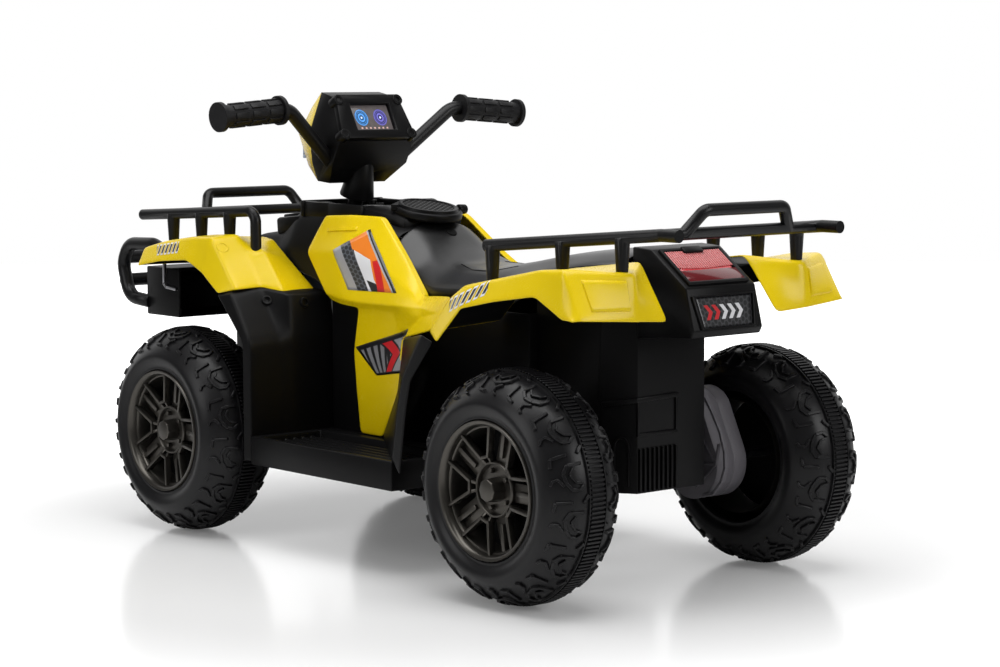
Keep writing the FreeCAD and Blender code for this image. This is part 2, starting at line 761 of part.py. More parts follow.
def housing_outline(inset):
    """The rear housing's plan, drawn in by a wall: straight sides, then a narrower rear face."""
    front, rear = tub_rear.value, housing_rear + inset
    side_rear = rear_axle.value - v.housing_side_reach
    half, rear_half = case_inner - inset, v.housing_rear_half_width - inset
    corners = [(front, -half), (side_rear, -half), (rear, -rear_half), (rear, rear_half), (side_rear, half),
               (front, half)]
    points = [Vector(x, y, housing_bottom) for x, y in corners]
    return Part.Face(Part.makePolygon(points + points[:1]))


def rear_housing():
    """Tail column: a shell, open at its front and top, with holes for the axle and the motor."""
    height = HOUSING_TOP_SHARE * v.deck_height - housing_bottom
    shell = housing_outline(0).extrude(Vector(0, 0, height))
    inside = housing_outline(v.shell_wall).extrude(Vector(0, 0, height))
    inside.translate(Vector(0, 0, v.shell_wall))
    axle_hole = bar(Vector(rear_axle.value, -v.track, axle_height.value),
                    Vector(rear_axle.value, v.track, axle_height.value), v.axle_radius)
    motor_hole = bar(Vector(motor_at.x, 0, motor_at.z), Vector(motor_at.x, -v.track, motor_at.z),
                     v.motor_radius + v.fit_gap)
    return shell.cut(inside).cut(axle_hole).cut(motor_hole)


feature("rear_housing", rear_housing())
piece("rear_axle", rod("rear_axle", s.axle_radius, 2 * axle_end, rear_axle, -axle_end, axle_height, "y"))


# Front frame, kingpins, knuckles and tie rod

beam_bottom = axle_height + s.beam_rise
rail_bottom = beam_bottom + s.beam_height
fascia_rear = front_axle + s.fascia_ahead
knuckle_bottom = axle_height - s.knuckle_height / 2
kingpin_offset = s.track / 2 - s.kingpin_inset
eye_inner = kingpin_offset - s.eye_length / 2 - s.fit_gap
upper_eye = axle_height + s.knuckle_height / 2 + s.fit_gap
lower_eye = knuckle_bottom - s.fit_gap - s.eye_height
rake_tangent = math.tan(math.radians(v.rake))


def on_column(height):
    """The point of the steering axis at a height."""
    return Vector(front_axle.value - (height - axle_height.value + v.rod_drop) * rake_tangent, 0, height)


def column_hole(name, low, high):
    """A raked round hole for the bush around the steering column."""
    start = on_column(low)
    item = doc.addObject("Part::Feature", name)
    item.Shape = bar(start, on_column(high), v.column_radius + v.bush_wall)
    item.Placement = MIDDLE
    return item


def front_frame():
    """Welded front frame: two rails, a cross tie, the axle beam, and the webs and eyes that hold the kingpins."""
    rail_length = fascia_rear - tub_front
    parts = [
        block("rail_left", rail_length, s.rail_width, s.rail_height, tub_front, s.rail_inner, rail_bottom),
        block("rail_right", rail_length, s.rail_width, s.rail_height, tub_front, -s.rail_inner - s.rail_width,
              rail_bottom),
        block("rail_tie", s.rail_width, 2 * s.rail_inner, s.rail_height, front_axle - s.rail_cross_gap,
              -s.rail_inner, rail_bottom),
        block("axle_beam", s.beam_length, 2 * eye_inner, s.beam_height, front_axle - s.beam_back, -eye_inner,
              beam_bottom),
    ]
    for name, side in SIDES.items():
        inner = side * (eye_inner - s.web_thickness) - (s.web_thickness if side == RIGHT else 0)
        eye = side * (eye_inner - s.web_thickness) - (s.eye_reach + s.web_thickness if side == RIGHT else 0)
        parts.append(block(f"web_{name}", s.eye_length, s.web_thickness, rail_bottom - lower_eye,
                           front_axle - s.eye_length / 2, inner, lower_eye))
        for level, bottom in (("upper", upper_eye), ("lower", lower_eye)):
            parts.append(block(f"eye_{level}_{name}", s.eye_length, s.eye_reach + s.web_thickness, s.eye_height,
                               front_axle - s.eye_length / 2, eye, bottom))
    holes = [rod(f"kingpin_hole_{name}", s.kingpin_radius, rail_bottom, front_axle, side * kingpin_offset, 0)
             for name, side in SIDES.items()]
    holes.append(column_hole("beam_hole", beam_bottom.value - v.bush_height, beam_bottom.value + 2 * v.bush_height))
    return cut("front_frame", fuse("front_frame_body", *parts), *holes)


piece("front_frame", front_frame())

kingpin_bottom = lower_eye - s.kingpin_head
kingpin_length = upper_eye + s.eye_height + s.kingpin_head - kingpin_bottom
piece("kingpins", fuse("kingpins", *[
    rod(f"kingpin_{name}", s.kingpin_radius, kingpin_length, front_axle, side * kingpin_offset, kingpin_bottom)
    for name, side in SIDES.items()
]))


def knuckle(name, side):
    """Steering knuckle: barrel on the kingpin, stub axle outwards, arm backwards with an upright tie pin."""
    y = side * kingpin_offset
    stub_length = axle_end - kingpin_offset
    collar_length = s.track / 2 - hub_end - s.fit_gap - kingpin_offset
    direction = 0 if side == LEFT else 1
    parts = [
        rod(f"knuckle_barrel_{name}", s.knuckle_radius, s.knuckle_height, front_axle, y, knuckle_bottom),
        rod(f"knuckle_stub_{name}", s.axle_radius, stub_length, front_axle, y - direction * stub_length,
            axle_height, "y"),
        rod(f"knuckle_collar_{name}", s.collar_radius, collar_length, front_axle, y - direction * collar_length,
            axle_height, "y"),
        block(f"knuckle_arm_{name}", s.arm_length, s.arm_width, s.arm_thickness, front_axle - s.arm_length,
              y - s.arm_width / 2, knuckle_bottom),
        rod(f"knuckle_arm_end_{name}", s.arm_width / 2, s.arm_thickness, front_axle - s.arm_length, y,
            knuckle_bottom),
        rod(f"tie_pin_{name}", s.tie_pin_radius, s.arm_thickness + s.tie_pin_height, front_axle - s.arm_length, y,
            knuckle_bottom),
    ]
    hole = rod(f"knuckle_bore_{name}", s.kingpin_radius + s.running_gap, 2 * s.knuckle_height, front_axle, y,
               knuckle_bottom - s.knuckle_height / 2)
    return cut(f"knuckle_{name}", fuse(f"knuckle_body_{name}", *parts), hole)


for name, side in SIDES.items():
    piece(f"knuckle_{name}", knuckle(name, side))

rod_bottom = knuckle_bottom + s.arm_thickness + s.fit_gap
rod_x = front_axle - s.arm_length


def tie_rod():
    """Flat tie rod with round ends: a running hole, an open pivot's loose hole and the crank pin's loose hole."""
    parts = [block("tie_rod_bar", s.tie_rod_width, 2 * kingpin_offset, s.tie_rod_thickness,
                   rod_x - s.tie_rod_width / 2, -kingpin_offset, rod_bottom)]
    parts += [rod(f"tie_rod_end_{name}", s.tie_rod_end, s.tie_rod_thickness, rod_x, side * kingpin_offset,
                  rod_bottom) for name, side in SIDES.items()]
    gaps = ((LEFT, s.running_gap), (RIGHT, s.open_pivot_gap), (0, s.crank_gap))
    holes = [rod(f"tie_rod_hole_{index}", s.tie_pin_radius + gap, 2 * s.knuckle_height, rod_x,
                 at * kingpin_offset, knuckle_bottom - s.knuckle_height / 2)
             for index, (at, gap) in enumerate(gaps)]
    return cut("tie_rod", fuse("tie_rod_body", *parts), *holes)


piece("tie_rod", tie_rod())


# Handlebar, grips, column and pod

bar_height = v.deck_height + v.bar_rise
bar_centre = on_column(bar_height)


def bar_points(side):
    """The handlebar's corners on one side, from its waist to its end."""
    shoulder_half = v.bar_end_half - v.grip_length - v.bar_shoulder_gap
    return [
        bar_centre + Vector(0, side * v.bar_waist_half, v.bar_waist_rise),
        bar_centre + Vector(-v.bar_shoulder_back, side * shoulder_half, v.bar_shoulder_rise),
        bar_centre + Vector(-v.bar_end_back, side * v.bar_end_half, v.bar_end_rise),
    ]


handlebar_route = bar_points(RIGHT)[::-1] + [bar_centre] + bar_points(LEFT)
feature("handlebar", tube(handlebar_route, v.bar_radius, v.bar_bend))


def grip(name, side):
    """Rubber grip: a sleeve with a flange at each end, closed over the bar's end."""
    points = [
        (s.bar_radius + s.running_gap, s.grip_end_wall - s.grip_length),
        (s.grip_flange_radius, s.grip_end_wall - s.grip_length),
        (s.grip_flange_radius, s.grip_end_wall - s.grip_length + s.grip_flange),
        (s.grip_radius, s.grip_end_wall - s.grip_length + s.grip_flange),
        (s.grip_radius, s.grip_end_wall - s.grip_flange),
        (s.grip_flange_radius, s.grip_end_wall - s.grip_flange),
        (s.grip_flange_radius, s.grip_end_wall),
        (Size.of(0), s.grip_end_wall),
        (Size.of(0), s.running_gap),
        (s.bar_radius + s.running_gap, s.running_gap),
    ]
    body = turned_body(f"grip_{name}", points)
    shoulder, tip = bar_points(side)[1:]
    body.Placement = FreeCAD.Placement(tip + MIDDLE.Base, FreeCAD.Rotation(Vector(0, 1, 0), tip - shoulder))
    return body


for name, side in SIDES.items():
    piece(f"grip_{name}", grip(name, side))


def steering_column():
    """Raked column with a crank at its foot, whose upright pin moves the tie rod."""
    post = bar(on_column(axle_height.value - v.column_drop), bar_centre, v.column_radius)
    elbow = Vector(rod_x.value, 0, axle_height.value - v.crank_drop)
    foot = Vector(rod_x.value, 0, rod_bottom.value - v.fit_gap)
    crank = bar(on_column(axle_height.value + v.crank_rise), elbow, v.crank_radius)
    knuckle_ball = Part.makeSphere(v.crank_radius, elbow)
    pin = bar(foot, elbow, v.tie_pin_radius)
    return post.multiFuse([crank, knuckle_ball, pin]).removeSplitter().cut(local("handlebar"))


feature("steering_column", largest(steering_column()))


def pod_point(shares, side):
    """A corner of the steering pod on one side."""
    ahead, across, up = shares
    back = bar_centre.x - v.pod_back
    bottom = bar_height - v.pod_drop
    return Vector(back + ahead * v.pod_length, side * across * v.pod_half_width, bottom + up * v.pod_height)


def pod_shell(table, faces):
    corners = {}
    for name, shares in table.items():
        corners[name + "l"] = pod_point(shares, LEFT)
        corners[name + "r"] = pod_point(shares, RIGHT)
        if shares[1] == 0:
            corners[name] = pod_point(shares, LEFT)
    return sheet_solid([[corners[name] for name in loop.split()] for loop in faces], v.panel_wall)


pod_cuts = ("handlebar", "steering_column")
feature("pod_rear_shell", trimmed(pod_shell(POD_REAR_SHARES, POD_REAR_FACES), *pod_cuts))


def dash_screen():
    """Flat display on the pod's sloping rear face."""
    high = pod_point(POD_REAR_SHARES["t"], 0)
    low = pod_point(POD_REAR_SHARES["b"], 0)
    up = (high - low).normalize()
    out = up.cross(Vector(0, 1, 0))
    centre = (high + low) * 0.5
    plate = Part.makeBox(v.screen_height, v.screen_width, v.screen_thickness)
    plate.translate(Vector(-v.screen_height / 2, -v.screen_width / 2, 0))
    plate.Placement = FreeCAD.Placement(centre, FreeCAD.Rotation(up, Vector(0, 1, 0), out, "XZY")).multiply(
        plate.Placement)
    return plate


feature("dash_screen", largest(dash_screen().cut(local("pod_rear_shell"))))


def pod_lamp_lens():
    """Lamp lens on the pod's lower front."""
    high = pod_point(POD_COWL_SHARES["cm"], 0)
    low = pod_point(POD_COWL_SHARES["cb"], 0)
    centre = (high + low) * 0.5
    corner = centre - Vector(v.lamp_depth - v.panel_wall, v.lamp_width / 2, v.lamp_height / 2)
    return Part.makeBox(v.lamp_depth, v.lamp_width, v.lamp_height, corner)


feature("pod_lamp_lens", pod_lamp_lens())
feature("pod_front_cowl", trimmed(pod_shell(POD_COWL_SHARES, POD_COWL_FACES), *pod_cuts, "pod_lamp_lens",
                                  "pod_rear_shell"))


# Dash cover with its controls, speaker grille, seat

seat_shell = sheet_solid(grid_faces(saddle_rows(SEAT_SHARES), LEFT), v.panel_wall)
feature("seat", trimmed(seat_shell, "chassis_tub", "rear_housing"))

pad_front = front_axle.value - v.pad_behind
pad_bottom = PAD_SHARE * v.deck_height
rocker_x = pad_front - v.pad_length / 2
rocker_y = v.pad_inner + v.pad_width / 2


def control_spots():
    """Centres of the rocker, on the left pad, and of the button and charging socket, on the right pad."""
    return (Vector(rocker_x, rocker_y, 0), Vector(rocker_x + v.button_offset, -rocker_y, 0),
            Vector(rocker_x - v.button_offset, -rocker_y, 0))


def rocker_pin(gap):
    """The rocker's pivot pin, along Y under the pad's face, or its hole with a gap."""
    half = Vector(0, v.rocker_width / 2 + v.rocker_pin_reach + gap, 0)
    middle_point = control_spots()[0] + Vector(0, 0, pad_bottom + v.pad_height - v.rocker_pin_drop)
    return bar(middle_point - half, middle_point + half, v.rocker_pin_radius + gap)


def top_cover():
    """Dash and tank cover: one moulded shell with two control pads and holes for what passes through."""
    shell = sheet_solid(grid_faces(saddle_rows(TOP_COVER_SHARES), LEFT), v.panel_wall)
    for side in (LEFT, RIGHT):
        low = v.pad_inner if side == LEFT else -v.pad_inner - v.pad_width
        pad = Part.makeBox(v.pad_length, v.pad_width, v.pad_height,
                           Vector(pad_front - v.pad_length, low, pad_bottom))
        shell = shell.fuse(pad)
    rocker, button, socket = control_spots()
    slot = Part.makeBox(v.rocker_length + 2 * v.rocker_swing_room, v.rocker_width + 2 * v.fit_gap, v.deck_height,
                        rocker - Vector(v.rocker_length / 2 + v.rocker_swing_room, v.rocker_width / 2 + v.fit_gap,
                                        -v.deck_height / 2))
    holes = [
        slot,
        rocker_pin(v.running_gap),
        bar(button, button + Vector(0, 0, 2 * v.deck_height), v.button_radius + v.fit_gap),
        bar(socket, socket + Vector(0, 0, 2 * v.deck_height), v.socket_radius),
        bar(on_column(v.deck_height - v.bush_height), bar_centre, v.column_radius + v.bush_wall),
    ]
    for hole in holes:
        shell = shell.cut(hole)
    return largest(shell.removeSplitter())


feature("top_cover", top_cover())


def speaker_grille():
    """Round cap with a bevelled rim, half sunk in the cover and the seat's front."""
    along_share, up_share = GRILLE_SHARES
    foot = spot(along_share, 0, up_share)
    side_height = Vector(0, 0, v.grille_height - v.grille_edge)
    disc = bar(foot, foot + side_height, v.grille_radius)
    bevel = Part.makeCone(v.grille_radius, v.grille_radius - v.grille_edge, v.grille_edge, foot + side_height)
    return disc.fuse(bevel).removeSplitter()


feature("speaker_grille", trimmed(speaker_grille(), "top_cover", "seat"))


def column_bushes():
    """A plain bush in the axle beam and one in the dash cover, each a running fit on the column."""
    bushes = []
    for low, high in ((beam_bottom.value - v.fit_gap, beam_bottom.value + v.beam_height),
                      (v.deck_height + v.bush_height, v.deck_height + 2 * v.bush_height + v.bush_flange)):
        sleeve = bar(on_column(low), on_column(high), v.column_radius + v.bush_wall)
        flange = bar(on_column(high), on_column(high + v.bush_flange), v.column_radius + 2 * v.bush_wall)
        hole = bar(on_column(low - v.bush_height), on_column(high + v.bush_height), v.column_radius + v.running_gap)
        bush = sleeve.fuse(flange).cut(hole).removeSplitter()
        bushes.append(trimmed(bush, "front_frame", "top_cover"))
    return Part.makeCompound(bushes)


feature("column_bushes", column_bushes())


def column_neck():
    """Sleeve round the column, from just over the dash bush up into the pod."""
    bush_top = v.deck_height + 2 * v.bush_height + 2 * v.bush_flange
    foot = on_column(bush_top + v.neck_gap)
    sleeve = bar(foot, bar_centre, v.neck_radius)
    pod_inside = bar(on_column(bar_height - v.pod_drop + v.panel_wall), bar_centre, 2 * v.neck_radius)
    return sleeve.cut(pod_inside)


feature("column_neck", trimmed(column_neck(), "steering_column", "pod_rear_shell", "handlebar"))

rocker_spot, button_spot, socket_spot = control_spots()
pad_face = Vector(0, 0, pad_bottom + v.pad_height)
rocker_key = Part.makeBox(
    v.rocker_length, v.rocker_width, v.rocker_height,
    rocker_spot + pad_face - Vector(v.rocker_length / 2, v.rocker_width / 2, v.rocker_height - v.rocker_rise))
feature("direction_rocker", rocker_key.fuse(rocker_pin(0)).removeSplitter())
feature("power_button", Part.makeCylinder(
    v.button_radius, v.button_height, button_spot + pad_face - Vector(0, 0, v.button_height - v.button_rise)))


def charge_socket():
    base = socket_spot + pad_face
    body = Part.makeCylinder(v.socket_radius, v.socket_height, base - Vector(0, 0, v.socket_height))
    return body.cut(Part.makeCylinder(v.socket_bore_radius, v.socket_depth, base - Vector(0, 0, v.socket_depth)))


feature("charge_socket", charge_socket())


# Footboards

footboard_front = front_axle - s.tyre_radius - s.footboard_front_gap
footboard_rear = rear_axle + s.tyre_radius + s.footboard_rear_gap
footboard_bottom = axle_height - s.footboard_drop


def footboard(name, side):
    """Footboard: a tray with an outer lip, ribs along its tread and a hollow underside."""
    length = footboard_front - footboard_rear
    width = s.half_width - s.tub_half_width
    top = footboard_bottom + s.footboard_height
    tread_width = s.half_width - s.lip_width - s.tread_inner
    low = s.tub_half_width if side == LEFT else -s.half_width
    tread_low = s.tread_inner if side == LEFT else s.lip_width - s.half_width
    tray = block(f"footboard_tray_{name}", length, width, s.footboard_height, footboard_rear, low, footboard_bottom)
    tread = block(f"footboard_tread_{name}", length - 2 * s.lip_width, tread_width, s.tread_depth + s.overrun,
                  footboard_rear + s.lip_width, tread_low, top - s.tread_depth)
    under = block(f"footboard_under_{name}", length - 2 * s.shell_wall, width - 2 * s.shell_wall,
                  s.footboard_height - s.tread_depth - s.shell_wall + s.overrun, footboard_rear + s.shell_wall,
                  low + s.shell_wall, footboard_bottom - s.overrun)
    pitch = tread_width / (s.rib_count + 1)
    ribs = [block(f"footboard_rib_{name}_{index}", length - 2 * s.lip_width, s.rib_width, s.rib_height,
                  footboard_rear + s.lip_width, tread_low + (index + 1) * pitch - s.rib_width / 2,
                  top - s.tread_depth)
            for index in range(v.rib_count)]
    return fuse(f"footboard_{name}", cut(f"footboard_hollow_{name}", tray, tread, under), *ribs)


for name, side in SIDES.items():
    piece(f"footboard_{name}", footboard(name, side))


# Moulded panels, each trimmed where it seats on its neighbours

for name, side in SIDES.items():
    fender = sheet_solid(grid_faces(FRONT_FENDER_SHARES, side), v.panel_wall)
    feature(f"front_fender_{name}", trimmed(fender, "top_cover"))


def tail_box():
    """Tail box: a side profile across the tail, hollow towards the rear housing."""
    points = [Vector(along(x), -v.tail_half_width, z * v.deck_height) for x, z in TAIL_BOX_SHARES]
    bottom = TAIL_BOX_SHARES[4][1] * v.deck_height + 2 * v.shell_wall
    block_shape = Part.Face(Part.makePolygon(points + points[:1])).extrude(Vector(0, 2 * v.tail_half_width, 0))
    half = v.tail_half_width - v.shell_wall
    hollow = Part.makeBox(v.tail_hollow_length, 2 * half, v.tail_hollow_height,
                          Vector(housing_rear - v.tail_hollow_length, -half, bottom))
    return block_shape.cut(hollow)


def lens_block(depth, height):
    """A block on the tail box's slope, from a depth under it to a height over it."""
    high, low = (spot(x, 0, z) for x, z in TAIL_BOX_SHARES[1:3])
    slope = (low - high).normalize()
    out = slope.cross(Vector(0, 1, 0)) * -1
    if out.z < 0:
        out = out * -1
    centre = (high + low) * 0.5
    plate = Part.makeBox(v.lens_length, v.lens_width, depth + height)
    plate.translate(Vector(-v.lens_length / 2, -v.lens_width / 2, -depth))
    turn = FreeCAD.Rotation(slope, Vector(0, 1, 0), out, "ZXY")
    plate.Placement = FreeCAD.Placement(centre, turn).multiply(plate.Placement)
    return plate


feature("tail_box", trimmed(tail_box().cut(lens_block(v.lens_recess, v.lens_height)), "rear_housing", "seat"))
feature("tail_light_lens", lens_block(v.lens_recess, v.lens_height - v.lens_recess))

for name, side in SIDES.items():
    fender = sheet_solid(grid_faces(REAR_FENDER_SHARES, side), v.panel_wall)
    feature(f"rear_fender_{name}", trimmed(fender, "seat", "rear_housing", "tail_box"))


def side_panel(side):
    corners = {name: spot(x, side * y, z) for name, (x, y, z) in SIDE_PANEL_SHARES.items()}
    loops = [[corners[name] for name in face.split()] for face in SIDE_PANEL_FACES]
    return sheet_solid(loops if side == LEFT else [turned_over(loop) for loop in loops], v.panel_wall)


for name, side in SIDES.items():
    feature(f"side_panel_{name}", trimmed(side_panel(side), "top_cover", "seat", f"rear_fender_{name}",
                                          f"front_fender_{name}", f"footboard_{name}"))


for name, side in SIDES.items():
    shield = sheet_solid(grid_faces([row[::-1] for row in LEG_SHIELD_SHARES], side), v.panel_wall)
    feature(f"leg_shield_{name}", trimmed(shield, f"front_fender_{name}", "chassis_tub", "top_cover",
                                          f"side_panel_{name}", f"footboard_{name}"))
    arch = sheet_solid(grid_faces(REAR_ARCH_SHARES, side), v.panel_wall)
    feature(f"rear_arch_{name}", trimmed(arch, f"side_panel_{name}", f"rear_fender_{name}", f"footboard_{name}"))


# Front fascia and headlights

fascia_front = fascia_rear.value + v.fascia_depth
fascia_bottom = FASCIA_TOP_SHARE * v.deck_height - v.fascia_height


def fascia():
    """Front fascia: a shell open at its back, with headlight windows and a leg down to the frame's rails."""
    shell = Part.makeBox(v.fascia_depth, 2 * v.fascia_half_width, v.fascia_height,
                         Vector(fascia_rear.value, -v.fascia_half_width, fascia_bottom))
    hollow = Part.makeBox(v.fascia_depth - v.shell_wall + v.overrun, 2 * (v.fascia_half_width - v.shell_wall),
                          v.fascia_height - 2 * v.shell_wall,
                          Vector(fascia_rear.value - v.overrun, v.shell_wall - v.fascia_half_width,
                                 fascia_bottom + v.shell_wall))
    leg = Part.makeBox(v.fascia_leg_length, 2 * v.fascia_leg_half, fascia_bottom - rail_bottom.value
                       + v.shell_wall, Vector(fascia_rear.value, -v.fascia_leg_half, rail_bottom.value))
    return shell.cut(hollow).fuse(leg).removeSplitter()


def headlight(side):
    """Headlight: a clear block through the fascia's window, tapered at its back."""
    low = Vector(fascia_front - v.headlight_depth, side * v.headlight_offset - v.headlight_width / 2,
                 fascia_bottom + v.headlight_rise)
    return Part.makeBox(v.headlight_depth, v.headlight_width, v.headlight_height, low)


lights = Part.makeCompound([headlight(side) for side in (LEFT, RIGHT)])
feature("front_fascia", trimmed(largest(fascia().cut(lights)), "top_cover", "front_fender_left",
                                "front_fender_right"))
feature("headlights", lights)


# Tube racks and bumper

def rack(rail, cross_share, handle, posts, ends):
    """A rack: two rails, a cross tube, a raised handle on it, and posts down to the fenders."""
    tubes = []
    rail_start, rail_end = (spot(*share) for share in rail)
    tubes += ends
    cross_at = (along(cross_share) - rail_start.x) / (rail_end.x - rail_start.x)
    cross = rail_start + (rail_end - rail_start) * cross_at
    tubes.append(bar(cross, mirrored(cross), v.cross_radius))
    foot, top = (spot(*share) for share in handle)
    foot.z = cross.z
    tubes.append(tube([foot, top, mirrored(top), mirrored(foot)], v.rack_radius, v.handle_bend))
    for share in posts:
        at = rail_start + (rail_end - rail_start) * (along(share) - rail_start.x) / (rail_end.x - rail_start.x)
        for head in (at, mirrored(at)):
            tubes.append(Part.makeCone(v.post_top_radius * POST_FOOT_SHARE, v.post_top_radius, v.post_drop,
                                       head - Vector(0, 0, v.post_drop)))
    return welded(tubes)


def rail_pair(points, bend):
    return [tube(points, v.rack_radius, bend), tube([mirrored(point) for point in points], v.rack_radius, bend)]


rear_limit = (-s.rear_reach - s.wheelbase / 2).value
rear_rail = [spot(*share) for share in REAR_RAIL_SHARES]
rear_rail.append(Vector(rear_limit, rear_rail[-1].y, rear_rail[-1].z))
feature("rear_rack", trimmed(
    rack(REAR_RAIL_SHARES, REAR_CROSS_SHARE, REAR_HANDLE_SHARES, REAR_POST_SHARES,
         rail_pair(rear_rail, v.rack_bend)),
    "rear_fender_left", "rear_fender_right", "seat", "tail_box", "tail_light_lens"))

front_rail = [spot(*share) for share in FRONT_RAIL_SHARES]
front_rail.append(front_rail[-1] - Vector(0, 0, v.post_drop))
feature("front_rack", trimmed(
    rack(FRONT_RAIL_SHARES, FRONT_CROSS_SHARE, FRONT_HANDLE_SHARES, FRONT_POST_SHARES,
         rail_pair(front_rail, v.rack_bend)),
    "front_fender_left", "front_fender_right", "top_cover", "side_panel_left", "side_panel_right"))


def bumper():
    """Front bumper: a loop each side from the fender's lip to the fascia, joined by two cross tubes."""
    front = front_axle.value + v.front_reach - v.bumper_radius
    loops = []
    for side in (LEFT, RIGHT):
        y = side * v.bumper_half_width
        points = [Vector(front_axle.value + x * v.front_reach, y, z * v.deck_height)
                  for x, z in (BUMPER_START_SHARES,) + BUMPER_SHARES]
        points.append(Vector(fascia_front - v.overrun, y, BUMPER_END_SHARE * v.deck_height))
        loops.append(tube(points, v.bumper_radius, v.bumper_bend))
    for share in BUMPER_BAR_SHARES:
        left = Vector(front, v.bumper_half_width, share * v.deck_height)
        loops.append(bar(left, mirrored(left), v.bumper_radius))
    return welded(loops)


feature("front_bumper", trimmed(bumper(), "front_fender_left", "front_fender_right", "front_fascia",
                                "front_rack"))


# Rear drive: gearbox, motor and gears

def gear(teeth, module, width, bore, centre, facing, tooth_first):
    """A spur gear along -Y from its centre. A tooth, or a gap, faces the given direction in degrees."""
    pitch_radius = teeth * module / 2
    tip = pitch_radius + GEAR_ADDENDUM_SHARE * module
    root = pitch_radius - GEAR_DEDENDUM_SHARE * module
    pitch = 2 * math.pi / teeth
    offset = math.radians(facing) + (0 if tooth_first else pitch / 2)
    points = []
    for index in range(teeth):
        middle_angle = offset + index * pitch
        flank = list(zip((root, pitch_radius, tip), GEAR_TOOTH_SHARES[::-1]))
        for radius, share in flank + flank[::-1]:
            turn = middle_angle + (-share if len(points) % 6 < 3 else share) * pitch
            points.append(centre + Vector(radius * math.cos(turn), 0, radius * math.sin(turn)))
    blank = Part.Face(Part.makePolygon(points + points[:1])).extrude(Vector(0, -width, 0))
    return blank.cut(bar(centre, centre - Vector(0, width, 0), bore))


def case_outline(inset):
    """The gearbox's outline: a round lobe at the axle and one at the motor, joined by tangents."""
    low = Vector(rear_axle.value, 0, axle_height.value)
    high = low + Vector(v.case_motor_ahead, 0, v.case_motor_rise)
    low_radius, high_radius = v.case_axle_radius - inset, v.case_motor_radius - inset
    axis = (high - low).normalize()
    side = Vector(-axis.z, 0, axis.x)
    lean = (low_radius - high_radius) / (high - low).Length
    spread = math.sqrt(1 - lean * lean)
    left, right = axis * lean + side * spread, axis * lean - side * spread
    edges = [
        Part.Arc(low + left * low_radius, low - axis * low_radius, low + right * low_radius).toShape(),
        Part.makeLine(low + right * low_radius, high + right * high_radius),
        Part.Arc(high + right * high_radius, high + axis * high_radius, high + left * high_radius).toShape(),
        Part.makeLine(high + left * high_radius, low + left * low_radius),
    ]
    return Part.Face(Part.Wire(edges))


def case_block(inset, start, end):
    face = case_outline(inset)
    face.translate(Vector(0, -start, 0))
    return face.extrude(Vector(0, start - end, 0))


def along_axle(x, z, start, end, radius):
    """A round bar along the axle's direction on the right side, between two distances from the middle."""
    return bar(Vector(x, -start, z), Vector(x, -end, z), radius)


axle_spot = (rear_axle.value, axle_height.value)
idler_spot = (idler_at.x, idler_at.z)
motor_spot = (motor_at.x, motor_at.z)


def gearbox_case():
    """Inner half: a cup with the idler's pin, and holes for the axle and the motor's shaft."""
    cup = case_block(0, case_inner, case_split).cut(
        case_block(v.case_wall, case_inner + v.case_wall, case_split + v.overrun))
    pin = along_axle(*idler_spot, case_inner, case_outer - v.case_wall, v.idler_pin_radius)
    boss = along_axle(*idler_spot, case_inner, idler_plane - v.fit_gap, 2 * v.idler_pin_radius)
    shaft_hole = along_axle(*motor_spot, 0, case_split, 2 * v.motor_shaft_radius)
    axle_hole = along_axle(*axle_spot, 0, case_split, v.axle_radius)
    return cup.multiFuse([pin, boss]).removeSplitter().cut(shaft_hole).cut(axle_hole)


def gearbox_cover():
    """Outer half: a cup with an opening for the output gear's hub."""
    cup = case_block(0, case_split, case_outer).cut(
        case_block(v.case_wall, case_split - v.overrun, case_outer - v.case_wall))
    return cup.cut(along_axle(*axle_spot, case_split, v.track, v.gear_hub_radius + v.fit_gap))


feature("gearbox_case", gearbox_case())
feature("gearbox_cover", gearbox_cover())


def output_gear():
    """Output gear on the axle, with a hub that reaches the right rear wheel."""
    centre = Vector(axle_spot[0], -output_plane, axle_spot[1])
    wheel = gear(v.output_teeth, v.output_module, v.output_gear_width, bore_radius.value, centre, v.idler_direction,
                 True)
    hub = along_axle(*axle_spot, output_plane, (s.track / 2 - hub_end).value, v.gear_hub_radius)
    return wheel.fuse(hub.cut(along_axle(*axle_spot, 0, v.track, bore_radius.value))).removeSplitter()


def reduction_gear():
    """Compound idler: a large gear driven by the motor and a pinion that drives the output gear."""
    bore = v.idler_pin_radius + v.running_gap
    large = gear(v.idler_teeth, v.motor_module, v.idler_gear_width, bore,
                 Vector(idler_spot[0], -idler_plane, idler_spot[1]), v.motor_direction, True)
    small_start = idler_plane + v.idler_gear_width
    small = gear(v.idler_pinion_teeth, v.output_module, output_plane + v.output_gear_width - small_start, bore,
                 Vector(idler_spot[0], -small_start, idler_spot[1]), v.idler_direction + HALF_TURN, False)
    return large.fuse(small).removeSplitter()


def motor_pinion():
    """Motor pinion with its shaft, which runs in the motor."""
    centre = Vector(motor_spot[0], -idler_plane, motor_spot[1])
    wheel = gear(v.motor_teeth, v.motor_module, v.idler_gear_width, v.motor_shaft_radius, centre,
                 v.motor_direction + HALF_TURN, False)
    shaft = along_axle(*motor_spot, case_inner - v.motor_shaft_depth + v.fit_gap,
                       idler_plane + v.idler_gear_width, v.motor_shaft_radius)
    return wheel.fuse(shaft).removeSplitter()


def drive_motor():
    body = along_axle(*motor_spot, case_inner - v.motor_length, case_inner, v.motor_radius)
    hole = along_axle(*motor_spot, case_inner - v.motor_shaft_depth, case_inner,
                      v.motor_shaft_radius + v.running_gap)
    return body.cut(hole)


feature("output_gear", output_gear())
feature("reduction_gear", reduction_gear())
feature("motor_pinion", motor_pinion())
feature("drive_motor", drive_motor())


# Battery, control box and accelerator pedal

